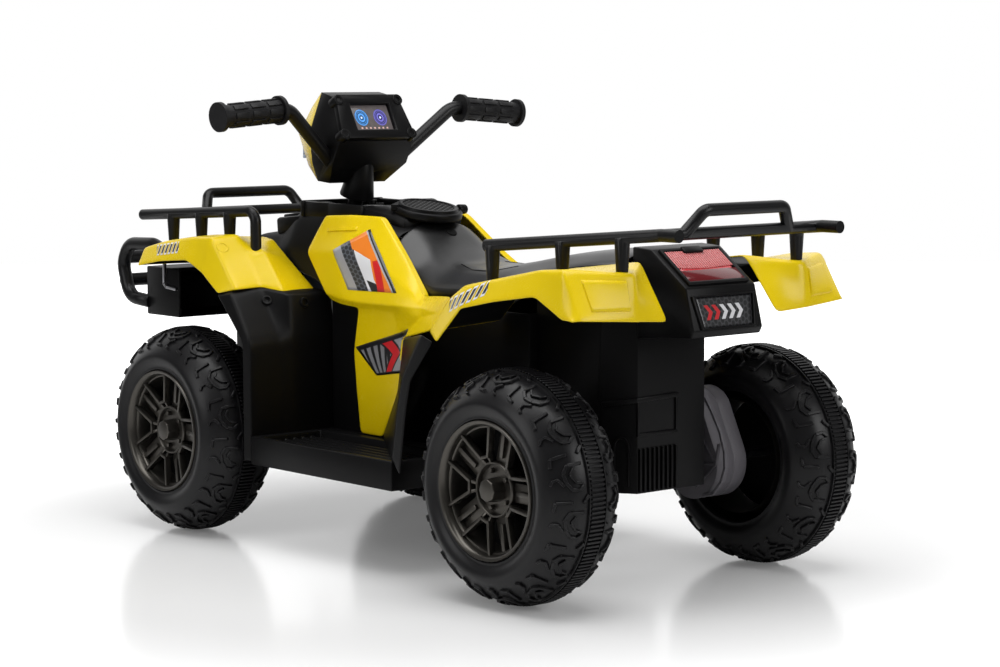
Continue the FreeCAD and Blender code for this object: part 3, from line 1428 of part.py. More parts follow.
tub_floor = tub_bottom + s.shell_wall
control_rear = tub_front - s.control_gap - s.control_length
battery_rear = control_rear - s.battery_gap - s.battery_length
piece("battery", block("battery", s.battery_length, s.battery_width, s.battery_height, battery_rear,
                       -s.battery_width / 2, tub_floor))
piece("control_box", block("control_box", s.control_length, s.control_width, s.control_height, control_rear,
                           -s.control_width / 2, tub_floor))

tread_top = footboard_bottom.value + v.footboard_height - v.tread_depth + v.rib_height
pivot = Vector(footboard_front.value - v.pedal_back, -v.pedal_offset, tread_top + v.pedal_pivot_rise)


def pedal_bracket():
    """Two lugs on the right footboard, with the pedal's pin through them."""
    lugs = []
    half = v.pedal_width / 2 + v.fit_gap
    for side in (LEFT, RIGHT):
        y = pivot.y + (half if side == LEFT else -half - v.lug_thickness)
        lugs.append(Part.makeBox(v.lug_length, v.lug_thickness, v.lug_height,
                                 Vector(pivot.x - v.lug_length / 2, y, tread_top)))
    reach = Vector(0, half + v.lug_thickness, 0)
    lugs.append(bar(pivot - reach, pivot + reach, v.pedal_pin_radius))
    return lugs[0].multiFuse(lugs[1:]).removeSplitter()


def accelerator_pedal():
    """Pedal plate on a barrel round the pin, tilted up towards the front."""
    half = Vector(0, v.pedal_width / 2, 0)
    barrel = bar(pivot - half, pivot + half, v.pedal_barrel_radius)
    plate = Part.makeBox(v.pedal_length, v.pedal_width, v.pedal_thickness,
                         Vector(0, -v.pedal_width / 2, -v.pedal_thickness / 2))
    plate.Placement = FreeCAD.Placement(pivot, FreeCAD.Rotation(Vector(0, 1, 0), -v.pedal_tilt))
    hole = bar(pivot - half * 2, pivot + half * 2, v.pedal_pin_radius + v.running_gap)
    return barrel.fuse(plate).removeSplitter().cut(hole)


feature("pedal_bracket", pedal_bracket())
feature("accelerator_pedal", accelerator_pedal())


# Checks and files

doc.recompute()
for item in doc.Objects:
    if "Invalid" in item.State or "Error" in item.State:
        raise RuntimeError(f"{item.Name} failed: {item.State}")
for label, item in pieces.items():
    if item.Shape.isNull() or not item.Shape.isValid() or not item.Shape.Solids:
        raise RuntimeError(f"{label} has no valid solid")

os.makedirs("parts", exist_ok=True)
for label, item in pieces.items():
    item.Shape.exportStep(os.path.join("parts", f"{label}.step"))
print(len(pieces), "pieces")
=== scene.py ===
"""Looks of the ride-on quad bike: panels, tubes, wheels, pod and studio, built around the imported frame."""
import json
import math

import bmesh
import bpy
from mathutils import Matrix, Vector


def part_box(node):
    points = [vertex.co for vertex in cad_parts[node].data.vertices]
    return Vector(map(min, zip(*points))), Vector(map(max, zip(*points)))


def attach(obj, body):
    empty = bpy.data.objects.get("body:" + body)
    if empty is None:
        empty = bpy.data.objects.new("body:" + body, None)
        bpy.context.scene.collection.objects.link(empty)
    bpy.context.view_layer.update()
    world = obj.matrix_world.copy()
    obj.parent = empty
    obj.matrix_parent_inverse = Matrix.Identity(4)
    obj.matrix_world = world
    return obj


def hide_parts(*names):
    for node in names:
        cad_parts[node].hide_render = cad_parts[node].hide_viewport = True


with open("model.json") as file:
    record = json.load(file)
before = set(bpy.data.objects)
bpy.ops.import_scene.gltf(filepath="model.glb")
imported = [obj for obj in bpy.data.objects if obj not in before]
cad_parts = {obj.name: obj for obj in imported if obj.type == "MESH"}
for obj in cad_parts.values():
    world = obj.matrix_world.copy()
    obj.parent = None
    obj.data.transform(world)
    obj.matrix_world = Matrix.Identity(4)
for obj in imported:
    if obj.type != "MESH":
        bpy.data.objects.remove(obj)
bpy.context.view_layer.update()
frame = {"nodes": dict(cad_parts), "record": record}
nodes = frame["nodes"]
scene = bpy.context.scene

# Driving dimensions in metres: places along X count from the middle of the wheelbase
WHEELBASE = .7292
HALF_WIDTH = .243
DECK = .440
TYRE_RADIUS = .150
TYRE_HALF_WIDTH = .064
PANEL_WALL = .003
PRINT_WALL = .0007
LEFT, RIGHT = 1, -1
SIDES = {"left": LEFT, "right": RIGHT}
tyre_low, tyre_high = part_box("tyre_front_left")
rear_low, rear_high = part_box("tyre_rear_left")
FRONT_AXLE = (tyre_low.x + tyre_high.x) / 2
REAR_AXLE = (rear_low.x + rear_high.x) / 2
MIDDLE = (FRONT_AXLE + REAR_AXLE) / 2
WHEEL_OFFSET = (tyre_low.y + tyre_high.y) / 2

# Panel cages: rows of (along, across, up) shares of the wheelbase, the half width and the deck height
FRONT_FENDER_SHARES = (
    ((.650, .40, .868), (.650, .68, .872), (.650, .775, .873), (.649, .94, .873), (.645, 1.0, .873)),
    ((.645, .40, .925), (.645, .68, .932), (.645, .775, .936), (.645, .947, .934), (.645, 1.0, .873)),
    ((.570, .40, .952), (.570, .68, .960), (.570, .775, .964), (.570, .947, .961), (.570, 1.0, .895)),
    ((.473, .40, .970), (.473, .68, .980), (.473, .775, .986), (.473, .947, .982), (.468, 1.0, .907)),
    ((.445, .40, .962), (.410, .68, .975), (.395, .775, .993), (.403, .947, .986), (.414, 1.0, .870)),
    ((.383, .40, .891), (.345, .68, .940), (.354, .775, .909), (.360, .947, .905), (.384, 1.0, .836)),
    ((.304, .40, .807), (.282, .68, .809), (.316, .775, .827), (.318, .947, .823), (.358, 1.0, .809)),
)
REAR_FENDER_SHARES = (
    ((-.267, .42, .775), (-.269, .66, .768), (-.272, .938, .759), (-.317, 1.0, .736)),
    ((-.333, .42, .880), (-.333, .66, .875), (-.333, .938, .868), (-.359, 1.0, .800)),
    ((-.373, .42, .918), (-.373, .66, .912), (-.370, .938, .905), (-.384, 1.0, .841)),
    ((-.468, .40, .950), (-.468, .66, .941), (-.468, .938, .936), (-.473, 1.0, .870)),
    ((-.555, .38, .968), (-.555, .66, .945), (-.572, .947, .970), (-.579, 1.0, .895)),
    ((-.622, .38, .982), (-.692, .62, .963), (-.634, .955, .977), (-.648, 1.0, .836)),
    ((-.698, .40, .818), (-.702, .64, .825), (-.684, .955, .836), (-.674, 1.0, .838)),
)
# The first row is a lip that tucks in under the front fender
LEG_SHIELD_SHARES = (
    ((.374, .955, .810), (.346, .935, .828), (.336, .775, .838), (.304, .68, .825), (.320, .35, .812)),
    ((.357, 1.0, .800), (.318, .985, .806), (.313, .775, .820), (.270, .68, .803), (.268, .37, .800)),
    ((.275, 1.0, .660), (.256, .985, .660), (.256, .775, .660), (.252, .68, .660), (.252, .37, .660)),
    ((.275, 1.0, .455), (.256, .985, .455), (.256, .775, .455), (.252, .68, .455), (.252, .37, .455)),
    ((.275, 1.0, .275), (.256, .985, .275), (.256, .775, .275), (.252, .68, .275), (.252, .37, .275)),
)
REAR_ARCH_SHARES = (
    ((.060, .48, .364), (-.185, .99, .362), (-.212, 1.0, .320)),
    ((.003, .50, .520), (-.203, .99, .527), (-.232, 1.0, .527)),
    ((-.008, .505, .600), (-.216, .99, .614), (-.245, 1.0, .614)),
    ((-.020, .515, .690), (-.268, .985, .752), (-.308, 1.0, .735)),
)
# The side panel's corners: a to e run from its front point to its rear, f and g are on the flare
SIDE_PANEL_SHARES = {
    "a0": (.290, .362, 1.052), "b0": (.206, .346, 1.059), "c0": (.122, .330, 1.058),
    "d0": (.027, .379, .936), "e0": (-.062, .460, .827),
    "al": (.287, .300, 1.049), "bl": (.206, .295, 1.056), "cl": (.121, .290, 1.056),
    "dl": (.027, .340, .932), "el": (-.062, .415, .824),
    "a1": (.324, .428, .932), "b1": (.213, .461, .936), "c1": (.117, .461, .927),
    "d1": (.025, .469, .875), "e1": (-.082, .510, .812),
    "a2": (.236, .486, .805), "b2": (.185, .502, .795), "c2": (.130, .519, .789),
    "d2": (.014, .527, .791), "e2": (-.103, .576, .797),
    "a3": (.226, .461, .782), "b3": (.185, .477, .773), "c3": (.130, .486, .768),
    "d3": (.011, .502, .768), "e3": (-.110, .600, .770),
    "c4": (.151, .477, .627), "d4": (-.008, .500, .600),
    "c5": (.143, .477, .500), "d5": (.000, .494, .520),
    "c6": (.134, .469, .362), "d6": (.060, .477, .362),
    "g": (-.020, .510, .693), "f0": (-.330, .930, .868), "f1": (-.302, .930, .815), "f2": (-.271, .930, .760),
}
SIDE_PANEL_FACES = (
    "al a0 b0 bl", "bl b0 c0 cl", "cl c0 d0 dl", "dl d0 e0 el",
    "a0 a1 b1 b0", "b0 b1 c1 c0", "c0 c1 d1 d0", "d0 d1 e1 e0",
    "a1 a2 b2 b1", "b1 b2 c2 c1", "c1 c2 d2 d1", "d1 d2 e2 e1",
    "a2 a3 b3 b2", "b2 b3 c3 c2", "c2 c3 d3 d2", "d2 d3 e3 e2",
    "c3 c4 d4 d3", "d3 d4 g", "c4 c5 d5 d4", "c5 c6 d6 d5", "d3 g e3",
    "e0 e1 f0", "e1 e2 f1 f0", "e2 e3 f1", "e3 g f2 f1",
)
# Top cover and seat: rows of (along, (across, up) from the middle line to the skirt's edge), both sides alike
TOP_COVER_SHARES = (
    (.645, (.0, .909), (.288, .905), (.40, .861)),
    (.549, (.0, .977), (.288, .972), (.40, .880)),
    (.459, (.0, 1.000), (.288, .990), (.40, .880)),
    (.411, (.0, 1.068), (.288, 1.059), (.40, .880)),
    (.309, (.0, 1.080), (.292, 1.072), (.40, .840)),
    (.260, (.0, 1.080), (.300, 1.066), (.40, .801)),
    (.178, (.0, 1.062), (.300, 1.050), (.40, .801)),
    (.0818, (.0, 1.052), (.300, 1.000), (.40, .801)),
)
SEAT_SHARES = (
    (.0810, (.0, 1.045), (.19, 1.030), (.33, .975), (.390, .801)),
    (.014, (.0, .962), (.22, .952), (.37, .882), (.395, .801)),
    (-.055, (.0, .918), (.25, .909), (.41, .850), (.400, .801)),
    (-.165, (.0, .923), (.265, .914), (.435, .855), (.400, .801)),
    (-.274, (.0, .950), (.27, .941), (.44, .882), (.400, .801)),
    (-.384, (.0, .984), (.265, .975), (.43, .930), (.345, .910)),
    (-.480, (.0, 1.002), (.24, .993), (.39, .957), (.345, .910)),
    (-.553, (.0, 1.005), (.20, .995), (.33, .968), (.300, .910)),
)
# Tyre section below its lugs: shares of the tyre's radius and half width, from the bead to the crown
CARCASS_SHARES = (
    (.592, .800), (.600, .862), (.628, .868), (.680, .925), (.735, .940), (.800, .860),
    (.855, .748), (.908, .606), (.942, .470), (.964, .300), (.973, .130), (.975, 0),
)


WALL_LEVEL = -.62
TONE_SPREAD = .07
FLOW_SCALE, FLOW_DETAIL = 11.0, 3.0
GRAIN_REACH = .0006


class Value:
    """A socket of a finish's nodes: sums and products of values add Math nodes."""

    def __init__(self, finish, socket):
        self.finish = finish
        self.socket = socket

    def math(self, operation, first, second):
        return self.finish.node("ShaderNodeMath", {"operation": operation}, {0: first, 1: second})

    def __add__(self, other):
        return self.math("ADD", self, other)

    def __sub__(self, other):
        return self.math("SUBTRACT", self, other)

    def __mul__(self, other):
        return self.math("MULTIPLY", self, other)

    def __lt__(self, other):
        return self.math("LESS_THAN", self, other)

    def __gt__(self, other):
        return self.math("GREATER_THAN", self, other)

    def alone(self, operation):
        return self.finish.node("ShaderNodeMath", {"operation": operation}, {0: self})


class Finish:
    """A procedural material around one Principled shader."""

    def __init__(self, name, **constants):
        self.material = bpy.data.materials.new(name)
        self.material.use_nodes = True
        self.tree = self.material.node_tree
        self.shader = self.tree.nodes["Principled BSDF"]
        for socket, number in constants.items():
            self.shader.inputs[socket.replace("_", " ")].default_value = number

    def node(self, kind, settings=None, inputs=None, output=0):
        """Add a node with its settings, then the values or links of its sockets; returns one output."""
        node = self.tree.nodes.new(kind)
        for name, setting in (settings or {}).items():
            setattr(node, name, setting)
        for name, value in (inputs or {}).items():
            self.feed(node.inputs[name], value)
        return Value(self, node.outputs[output])

    def feed(self, socket, value):
        if isinstance(value, Value):
            self.tree.links.new(value.socket, socket)
        else:
            socket.default_value = value

    def set(self, socket, value):
        self.feed(self.shader.inputs[socket], value)

    def mix(self, low, high, share):
        """A colour between two others."""
        return self.node("ShaderNodeMix", {"data_type": "RGBA"}, {0: share, 6: low, 7: high}, 2)

    def place(self):
        return self.node("ShaderNodeTexCoord", output="Object")

    def split(self, vector):
        return [self.node("ShaderNodeSeparateXYZ", inputs={0: vector}, output=axis) for axis in "XYZ"]

    def print_place(self):
        """Shares across and up a print, from its own map."""
        return self.split(self.node("ShaderNodeUVMap", {"uv_map": "print"}))[:2]

    def honeycomb(self, across, up, cell):
        """One on the walls of hexagonal cells, where three waves are low together."""
        waves = 0
        for turn in (0, 60, 120):
            angle = math.radians(turn)
            reach = (across * math.cos(angle) + up * math.sin(angle)) * (4 * math.pi / (math.sqrt(3) * cell))
            waves = reach.alone("COSINE") + waves
        return waves < WALL_LEVEL

    def noise(self, scale, detail=2.0):
        inputs = {"Vector": self.place(), "Scale": scale, "Detail": detail}
        return self.node("ShaderNodeTexNoise", inputs=inputs)


def tinted(colour, share):
    return (colour[0] * share, colour[1] * share, colour[2] * share, 1)


def moulded(name, colour, roughness, grain=700.0, depth=.05, streak=.08, **constants):
    """Moulded or coated surface: slightly uneven tone and gloss, with a fine grain."""
    finish = Finish(name, **constants)
    flow = finish.noise(FLOW_SCALE, FLOW_DETAIL)
    pits = finish.noise(grain)
    dark, light = tinted(colour, 1 - TONE_SPREAD), tinted(colour, 1 + TONE_SPREAD)
    finish.set("Base Color", finish.mix(dark, light, flow))
    finish.set("Roughness", flow * streak + pits * streak + (roughness - streak))
    bump = {"Height": pits, "Strength": depth, "Distance": GRAIN_REACH}
    finish.set("Normal", finish.node("ShaderNodeBump", inputs=bump))
    return finish.material


YELLOW = moulded("yellow_plastic", (.78, .565, .002), .27, 900.0, .02, .05, Specular_IOR_Level=.28,
                 Coat_Weight=.06, Coat_Roughness=.12)
BLACK = moulded("black_plastic", (.0042, .0041, .0044), .38, 800.0, .10, Specular_IOR_Level=.14)
SEAT_BLACK = moulded("seat_black", (.0045, .0045, .0048), .32, 500.0, .12, Specular_IOR_Level=.48)
TUBE = moulded("black_tube", (.0050, .0049, .0054), .34, 1200.0, .05, Specular_IOR_Level=.26)
STEEL = moulded("bright_steel", (.50, .50, .52), .30, 900.0, .04, .06, Metallic=1.0)
GREY = moulded("grey_plastic", (.105, .099, .110), .48, 700.0, .10, Specular_IOR_Level=.35)
NYLON = moulded("gear_nylon", (.70, .68, .62), .45, 600.0, .05)
TYRE = moulded("tyre_black", (.0055, .0052, .0060), .36, 600.0, .10, Specular_IOR_Level=.29)
RIM = moulded("rim_gunmetal", (.085, .079, .070), .30, 1500.0, .04, .06, Metallic=.85)
# Near-black matte material for painted shade: the disc behind the wheels' windows, the seat's creases and its
# finger hole
PAINTED_SHADE = moulded("painted_shade", (.0025, .0025, .0025), .55, Specular_IOR_Level=.1)
RUBBER = moulded("grip_rubber", (.0060, .0058, .0066), .46, 700.0, .15, Specular_IOR_Level=.28)
RED = moulded("red_lens", (.52, .030, .040), .16, 300.0, .02, .04, Coat_Weight=.4)
PALE_RED = moulded("pale_red_lens", (.60, .17, .17), .22, 300.0, .02, .04, Coat_Weight=.2)
DEEP_RED = moulded("deep_red_lens", (.11, .002, .005), .14, 300.0, .02, .04, Coat_Weight=.3)
CLEAR = moulded("clear_lens", (.40, .47, .60), .12, 300.0, .02, .04, Coat_Weight=.5)


# Rings of a dial: inner and outer radius, and brightness
DIAL_RINGS = ((0, .0118, .30), (.0098, .0116, 1), (.0078, .0088, .75), (.0040, .0062, 1.25))
DIAL_HUB = .0016
DIAL_OFFSET, DIAL_HEIGHT = .0172, .6030
LAMP_ROW = (.5868, .5892)
LAMP_ROW_HALF = .026
LAMPS_PER_METRE = 130.0


def gauge(finish, across, up, place, colour, ground):
    """A round dial: rings of light round a bright hub."""
    reach = ((across - place[0]) * (across - place[0]) + (up - place[1]) * (up - place[1])).alone("SQRT")
    glow = ground
    for inner, outer, brightness in DIAL_RINGS:
        glow = finish.mix(glow, tinted(colour, brightness), (reach < outer) * (reach > inner))
    return finish.mix(glow, (.60, .70, .90, 1), reach < DIAL_HUB)


def screen_finish():
    """Display glass with two dials and a row of small lamps."""
    finish = Finish("screen_glass", Roughness=.16, Specular_IOR_Level=.3, Emission_Strength=.45)
    across, up = finish.split(finish.place())[1:]
    ground = finish.mix((.070, .062, .062, 1), (.12, .105, .105, 1), finish.noise(120.0))
    glow = gauge(finish, across, up, (DIAL_OFFSET, DIAL_HEIGHT), (.08, .26, .62), ground)
    glow = gauge(finish, across, up, (-DIAL_OFFSET, DIAL_HEIGHT), (.13, .12, .42), glow)
    lamps = ((across * LAMPS_PER_METRE).alone("FRACT") > .60) * (across.alone("ABSOLUTE") < LAMP_ROW_HALF)
    glow = finish.mix(glow, (.62, .40, .36, 1), (up > LAMP_ROW[0]) * (up < LAMP_ROW[1]) * lamps)
    finish.set("Base Color", glow)
    finish.set("Emission Color", glow)
    return finish.material


SCREEN = screen_finish()
PRINT_BLACK = (.012, .012, .013, 1)
PRINT_ORANGE = (.85, .22, .015, 1)
# Sizes of the honeycombs in the prints, and of their cells
FLASH_SIZE, FLASH_CELL = .085, .0085
MESH_WIDTH, MESH_HEIGHT, MESH_CELL = .10, .038, .0078


def flash_print():
    """Side print: a grey strip, a honeycomb band and an orange and red flash on white."""
    finish = Finish("flash_print", Roughness=.28, Coat_Weight=.3)
    across, up = finish.print_place()
    honey = finish.honeycomb(across * FLASH_SIZE, up * FLASH_SIZE, FLASH_CELL)
    band = finish.mix((.020, .021, .025, 1), (.10, .11, .13, 1), honey)
    tone = finish.mix((.32, .32, .34, 1), band, across > .22)
    tone = finish.mix(tone, (.74, .74, .76, 1), across - up * .08 > .44)
    tone = finish.mix(tone, PRINT_ORANGE, (across > .47) * (up > across * -.9 + 1.25))
    tone = finish.mix(tone, (.016, .016, .018, 1), (across > .50) * (up < across * -.45 + .44))
    edge = across - up * .35
    tone = finish.mix(tone, PRINT_ORANGE, (edge > .58) * (up < .70) * (across > .66))
    tone = finish.mix(tone, (.62, .014, .016, 1), (edge > .62) * (edge < .76) * (up < .52))
    tone = finish.mix(tone, (.42, .42, .44, 1), across > .90)
    finish.set("Base Color", finish.mix(tone, PRINT_BLACK, across > .935))
    return finish.material


def bar_print():
    """Lower side print: grey slanted bars and a red arrow on black."""
    finish = Finish("bar_print", Roughness=.28, Coat_Weight=.3)
    across, up = finish.print_place()
    inside = (up > .07) * (up < .86) * (across > .05)
    bars = ((across * 7.5 - up * .9).alone("FRACT") > .42) * (across < .52) * inside
    tone = finish.mix(PRINT_BLACK, (.22, .22, .23, 1), bars)
    tone = finish.mix(tone, (.28, .28, .29, 1), (across > .60) * inside)
    bend = (up - .5).alone("ABSOLUTE") * .55
    arrow = (across + bend > .66) * (across + bend < .84) * inside
    tone = finish.mix(tone, PRINT_BLACK, (across + bend > .62) * (across + bend < .88) * inside)
    finish.set("Base Color", finish.mix(tone, (.60, .012, .018, 1), arrow))
    return finish.material


def mark_print():
    """Fender print: a row of slanted black bars with pale edges; the panel shows between them."""
    finish = Finish("mark_print", Roughness=.30, Coat_Weight=.3)
    across, up = finish.print_place()
    step = (across * 6.0 - up * .8).alone("FRACT")
    core = (step > .22) * (step < .66) * (up > .14) * (up < .86)
    finish.set("Base Color", finish.mix((.80, .80, .82, 1), PRINT_BLACK, core))
    finish.set("Alpha", (step > .12) * (step < .76))
    return finish.material


def mesh_print():
    """Tail plate: honeycomb on black with red and white arrows in its middle."""
    finish = Finish("mesh_print", Roughness=.34, Coat_Weight=.2)
    across, up = finish.print_place()
    honey = finish.honeycomb(across * MESH_WIDTH, up * MESH_HEIGHT, MESH_CELL)
    tone = finish.mix((.006, .006, .007, 1), (.045, .046, .050, 1), honey)
    bend = (up - .5).alone("ABSOLUTE")
    skew = across + bend * .30
    step = (skew * 7.0).alone("FRACT")
    row = (skew > .17) * (skew < .85) * (bend < .24) * (step > .30) * (step < .80)
    tint = finish.mix((.70, .70, .72, 1), (.55, .012, .018, 1), skew < .42)
    finish.set("Base Color", finish.mix(tone, tint, row))
    return finish.material


SLOT_FINISHES = {
    "yellow_plastic": YELLOW, "black_plastic": BLACK, "black_tube": TUBE, "bright_steel": STEEL,
    "grey_plastic": GREY, "gear_nylon": NYLON, "tyre_black": TYRE, "rim_gunmetal": RIM,
    "grip_rubber": RUBBER, "red_lens": RED, "clear_lens": CLEAR, "screen_glass": SCREEN,
}
NODE_SLOTS = {row["node"]: row["material_slot"] for row in frame["record"]["subparts"]}
BODY_OF = {node: body for body, names in frame["record"]["behaviour"]["bodies"].items() for node in names}

# Edges whose faces meet at more than this angle are rounded
CLEAR_ANGLE = 30
# How far a bar runs past each corner of its path, as a share of its width
CORNER_SHARE = .4
BOSS_TAPER_SHARE = .92
BOSS_HOLE_SHARE = .7
CAST_REACH = .1


def spot(along, across, up):
    """A place from shares of the driving dimensions."""
    return Vector((MIDDLE + along * WHEELBASE, across * HALF_WIDTH, up * DECK))


def piece(name, bm, finish, body, replaces=(), sharp=35, wall=0, soft=0):
    """Turn a finished mesh into a piece that rides a body; a wall thickens an open sheet inwards."""
    mesh = bpy.data.meshes.new(name)
    bm.to_mesh(mesh)
    bm.free()
    obj = bpy.data.objects.new(name, mesh)
    scene.collection.objects.link(obj)
    for material in (finish if isinstance(finish, tuple) else (finish,)):
        mesh.materials.append(material)
    mesh.shade_smooth()
    mesh.set_sharp_from_angle(angle=math.radians(sharp))
    if wall:
        thick = obj.modifiers.new("wall", "SOLIDIFY")
        thick.thickness = wall
        thick.offset = -1
        # The last material colours the inner shell; on the fenders it is black, as painted shade
        thick.material_offset = len(mesh.materials) - 1
        thick.use_even_offset = True
    if soft:
        smooth = obj.modifiers.new("soft", "SUBSURF")
        smooth.levels = soft
        smooth.render_levels = soft
    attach(obj, body)
    if replaces:
        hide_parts(*replaces)
    return obj


def from_cad(node, edge):
    """A merged copy of a node's mesh, with its sharp edges rounded where a radius is given."""
    bm = bmesh.new()
    bm.from_mesh(nodes[node].data)
    bmesh.ops.remove_doubles(bm, verts=bm.verts, dist=1e-5)
    bmesh.ops.dissolve_limit(bm, angle_limit=math.radians(1), verts=bm.verts, edges=bm.edges)
    bmesh.ops.recalc_face_normals(bm, faces=bm.faces)
    if edge:
        round_edges(bm, edge)
    return bm


def round_edges(bm, radius, segments=2):
    """Round every edge whose faces meet at a clear angle."""
    limit = math.radians(CLEAR_ANGLE)
    sharp = [edge for edge in bm.edges if edge.is_manifold and edge.calc_face_angle() > limit]
    bmesh.ops.bevel(bm, geom=sharp, offset=radius, segments=segments, profile=.5, affect="EDGES",
                    clamp_overlap=True, material=-1)


def cage(rows):
    """A sheet over rows of places."""
    bm = bmesh.new()
    columns = len(rows[0])
    bmesh.ops.create_grid(bm, x_segments=columns - 1, y_segments=len(rows) - 1, size=1)
    order = sorted(bm.verts, key=lambda vert: (round(vert.co.y, 3), round(vert.co.x, 3)))
    for vert, place in zip(order, [place for row in rows for place in row]):
        vert.co = place
    bmesh.ops.remove_doubles(bm, verts=bm.verts, dist=1e-5)
    return bm


def named_cage(corners, loops):
    """A sheet over named corners."""
    bm = bmesh.new()
    verts = {name: bm.verts.new(place) for name, place in corners.items()}
    for loop in loops:
        bm.faces.new([verts[name] for name in loop.split()])
    return bm


def turn_out(bm, inside):
    """Turn a sheet's faces away from a point inside the object."""
    bmesh.ops.recalc_face_normals(bm, faces=bm.faces)
    away = sum(face.normal.dot(face.calc_center_median() - inside) * face.calc_area() for face in bm.faces)
    if away < 0:
        bmesh.ops.reverse_faces(bm, faces=bm.faces)


def crisp(bm, cuts):
    """Divide a cage evenly, so that softening keeps its facets and rounds its creases tightly."""
    bmesh.ops.subdivide_edges(bm, edges=bm.edges, cuts=cuts, use_grid_fill=True)


def flipped(bm):
    """Mirror a mesh to the other side of the vehicle."""
    bmesh.ops.scale(bm, vec=(1, -1, 1), verts=bm.verts)
    bmesh.ops.reverse_faces(bm, faces=bm.faces)


def skin(node, bm, finish, inside, cuts, side=LEFT):
    """A thin moulded skin in place of a node, faces away from a place inside; mirrored on the right."""
    turn_out(bm, inside)
    crisp(bm, cuts)
    if side == RIGHT:
        flipped(bm)
    skins[node] = piece(f"{node}_skin", bm, finish, "chassis", [node], wall=PANEL_WALL, soft=2)


def sheet(table):
    """A sheet over rows of shares, or over the side panel's named corners."""
    if table is SIDE_PANEL_SHARES:
        return named_cage({name: spot(*shares) for name, shares in table.items()}, SIDE_PANEL_FACES)
    return cage([[spot(*shares) for shares in row] for row in table])


def saddle(table):
    """Rows of places across the whole width, from a half section's shares."""
    rows = []
    for along, *half in table:
        whole = [(-across, up) for across, up in reversed(half[1:])] + list(half)
        rows.append([spot(along, across, up) for across, up in whole])
    return rows


def at(along, across, up):
    """A place in millimetres: from the middle of the wheelbase, the middle plane and the floor."""
    return Vector((MIDDLE + along / 1000, across / 1000, up / 1000))


def path(places, side=LEFT):
    """Places from a table in millimetres, on one side or mirrored to the other."""
    return [at(along, side * across, up) for along, across, up in places]


def beam(bm, start, end, width, height, out):
    """A straight bar between two places, its width and height in millimetres; its height runs outwards."""
    along = (end - start).normalized()
    rise = (out - along * out.dot(along)).normalized()
    turn = Matrix((along, rise.cross(along), rise)).transposed().to_4x4()
    grow = Matrix.Diagonal(((end - start).length, width / 1000, height / 1000, 1))
    bmesh.ops.create_cube(bm, size=1, matrix=Matrix.Translation((start + end) / 2) @ turn @ grow)


def chain(bm, places, width, height, out):
    """Straight bars from place to place, long enough to meet at the corners."""
    for start, end in zip(places, places[1:]):
        reach = (end - start).normalized() * width * CORNER_SHARE / 1000
        beam(bm, start - reach, end + reach, width, height, out)


def facing(axis, front="Z", side="Y"):
    return axis.to_track_quat(front, side).to_matrix().to_4x4()


def stub(bm, centre, axis, foot_radius, top_radius, depth, segments):
    """A round stub about an axis, wider or narrower at its foot; lengths in metres."""
    return bmesh.ops.create_cone(bm, cap_ends=True, segments=segments, radius1=foot_radius,
                                 radius2=top_radius, depth=depth,
                                 matrix=Matrix.Translation(centre) @ facing(axis))


def boss(bm, centre, axis, radius, depth, hole):
    """A round boss with a blind hole in its outer face; lengths in millimetres."""
    made = stub(bm, centre, axis, radius / BOSS_TAPER_SHARE / 1000, radius / 1000, depth / 1000, 20)
    faces = {face for vert in made["verts"] for face in vert.link_faces}
    top = max(faces, key=lambda face: face.calc_center_median().dot(axis))
    bmesh.ops.inset_region(bm, faces=[top], thickness=(radius - hole) / 1000)
    sunk = bmesh.ops.extrude_discrete_faces(bm, faces=[top])["faces"]
    bmesh.ops.translate(bm, vec=axis * depth * -BOSS_HOLE_SHARE / 1000, verts=sunk[0].verts)


def frame_plate(outer, inner, depth):
    """A plate with an opening: one loop of places round another, thickened by a vector."""
    bm = bmesh.new()
    edges = []
    for loop in (outer, inner):
        verts = [bm.verts.new(place) for place in loop]
        edges += [bm.edges.new((verts[index - 1], verts[index])) for index in range(len(verts))]
    bmesh.ops.bridge_loops(bm, edges=edges)
    made = bmesh.ops.extrude_face_region(bm, geom=bm.faces[:])
    raised = [part for part in made["geom"] if isinstance(part, bmesh.types.BMVert)]
    bmesh.ops.translate(bm, vec=depth, verts=raised)
    return bm


def trim(name, bm, finish, body="chassis", edge=.6):
    """A small piece of a body, with its edges rounded."""
    bmesh.ops.recalc_face_normals(bm, faces=bm.faces)
    if edge:
        round_edges(bm, edge / 1000)
    return piece(name, bm, finish, body)


def bars(name, runs, size, out, finish=BLACK, slot="black_plastic", edge=.6):
    """A trim of straight bars, all of one width and height."""
    bm = bmesh.new()
    for start, end in runs:
        beam(bm, start, end, *size, out)
    trim(name, bm, finish, edge=edge)


def framed(on_face, outer, inner, sink, depth):
    """A frame plate between two outlines of a face, sunk a little into it."""
    loops = [[on_face(*place, -sink) for place in outline] for outline in (outer, inner)]
    return frame_plate(*loops, depth)


def surface(node):
    """A skin as it is shown, for casting places onto it."""
    return skins[node].evaluated_get(bpy.context.evaluated_depsgraph_get())


def laid(name, node, corners, toward, rise, finish, slot, sunk=None, columns=18, rows=14):
    """A sheet cast onto a skin between four corners: left top, right top, right foot, left foot."""
    target = surface(node)
    bm = bmesh.new()
    bmesh.ops.create_grid(bm, x_segments=columns, y_segments=rows, size=.5)
    chart = bm.loops.layers.uv.new("print")
    for face in bm.faces:
        for loop in face.loops:
            loop[chart].uv = (loop.vert.co.x + .5, loop.vert.co.y + .5)
    for vert in bm.verts:
        across, up = vert.co.x + .5, vert.co.y + .5
        place = corners[3].lerp(corners[2], across).lerp(corners[0].lerp(corners[1], across), up)
        found, place_on, normal, _ = target.ray_cast(place - toward * CAST_REACH, toward)
        border = min(across, up, 1 - across, 1 - up) < .001
        lift = sunk if border and sunk is not None else rise
        vert.co = place_on + normal * (lift / 1000) if found else place
    bm.normal_update()
    if sum(face.normal.dot(toward) for face in bm.faces) > 0:
        bmesh.ops.reverse_faces(bm, faces=bm.faces)
    piece(name, bm, finish, "chassis", sharp=50, wall=PRINT_WALL)


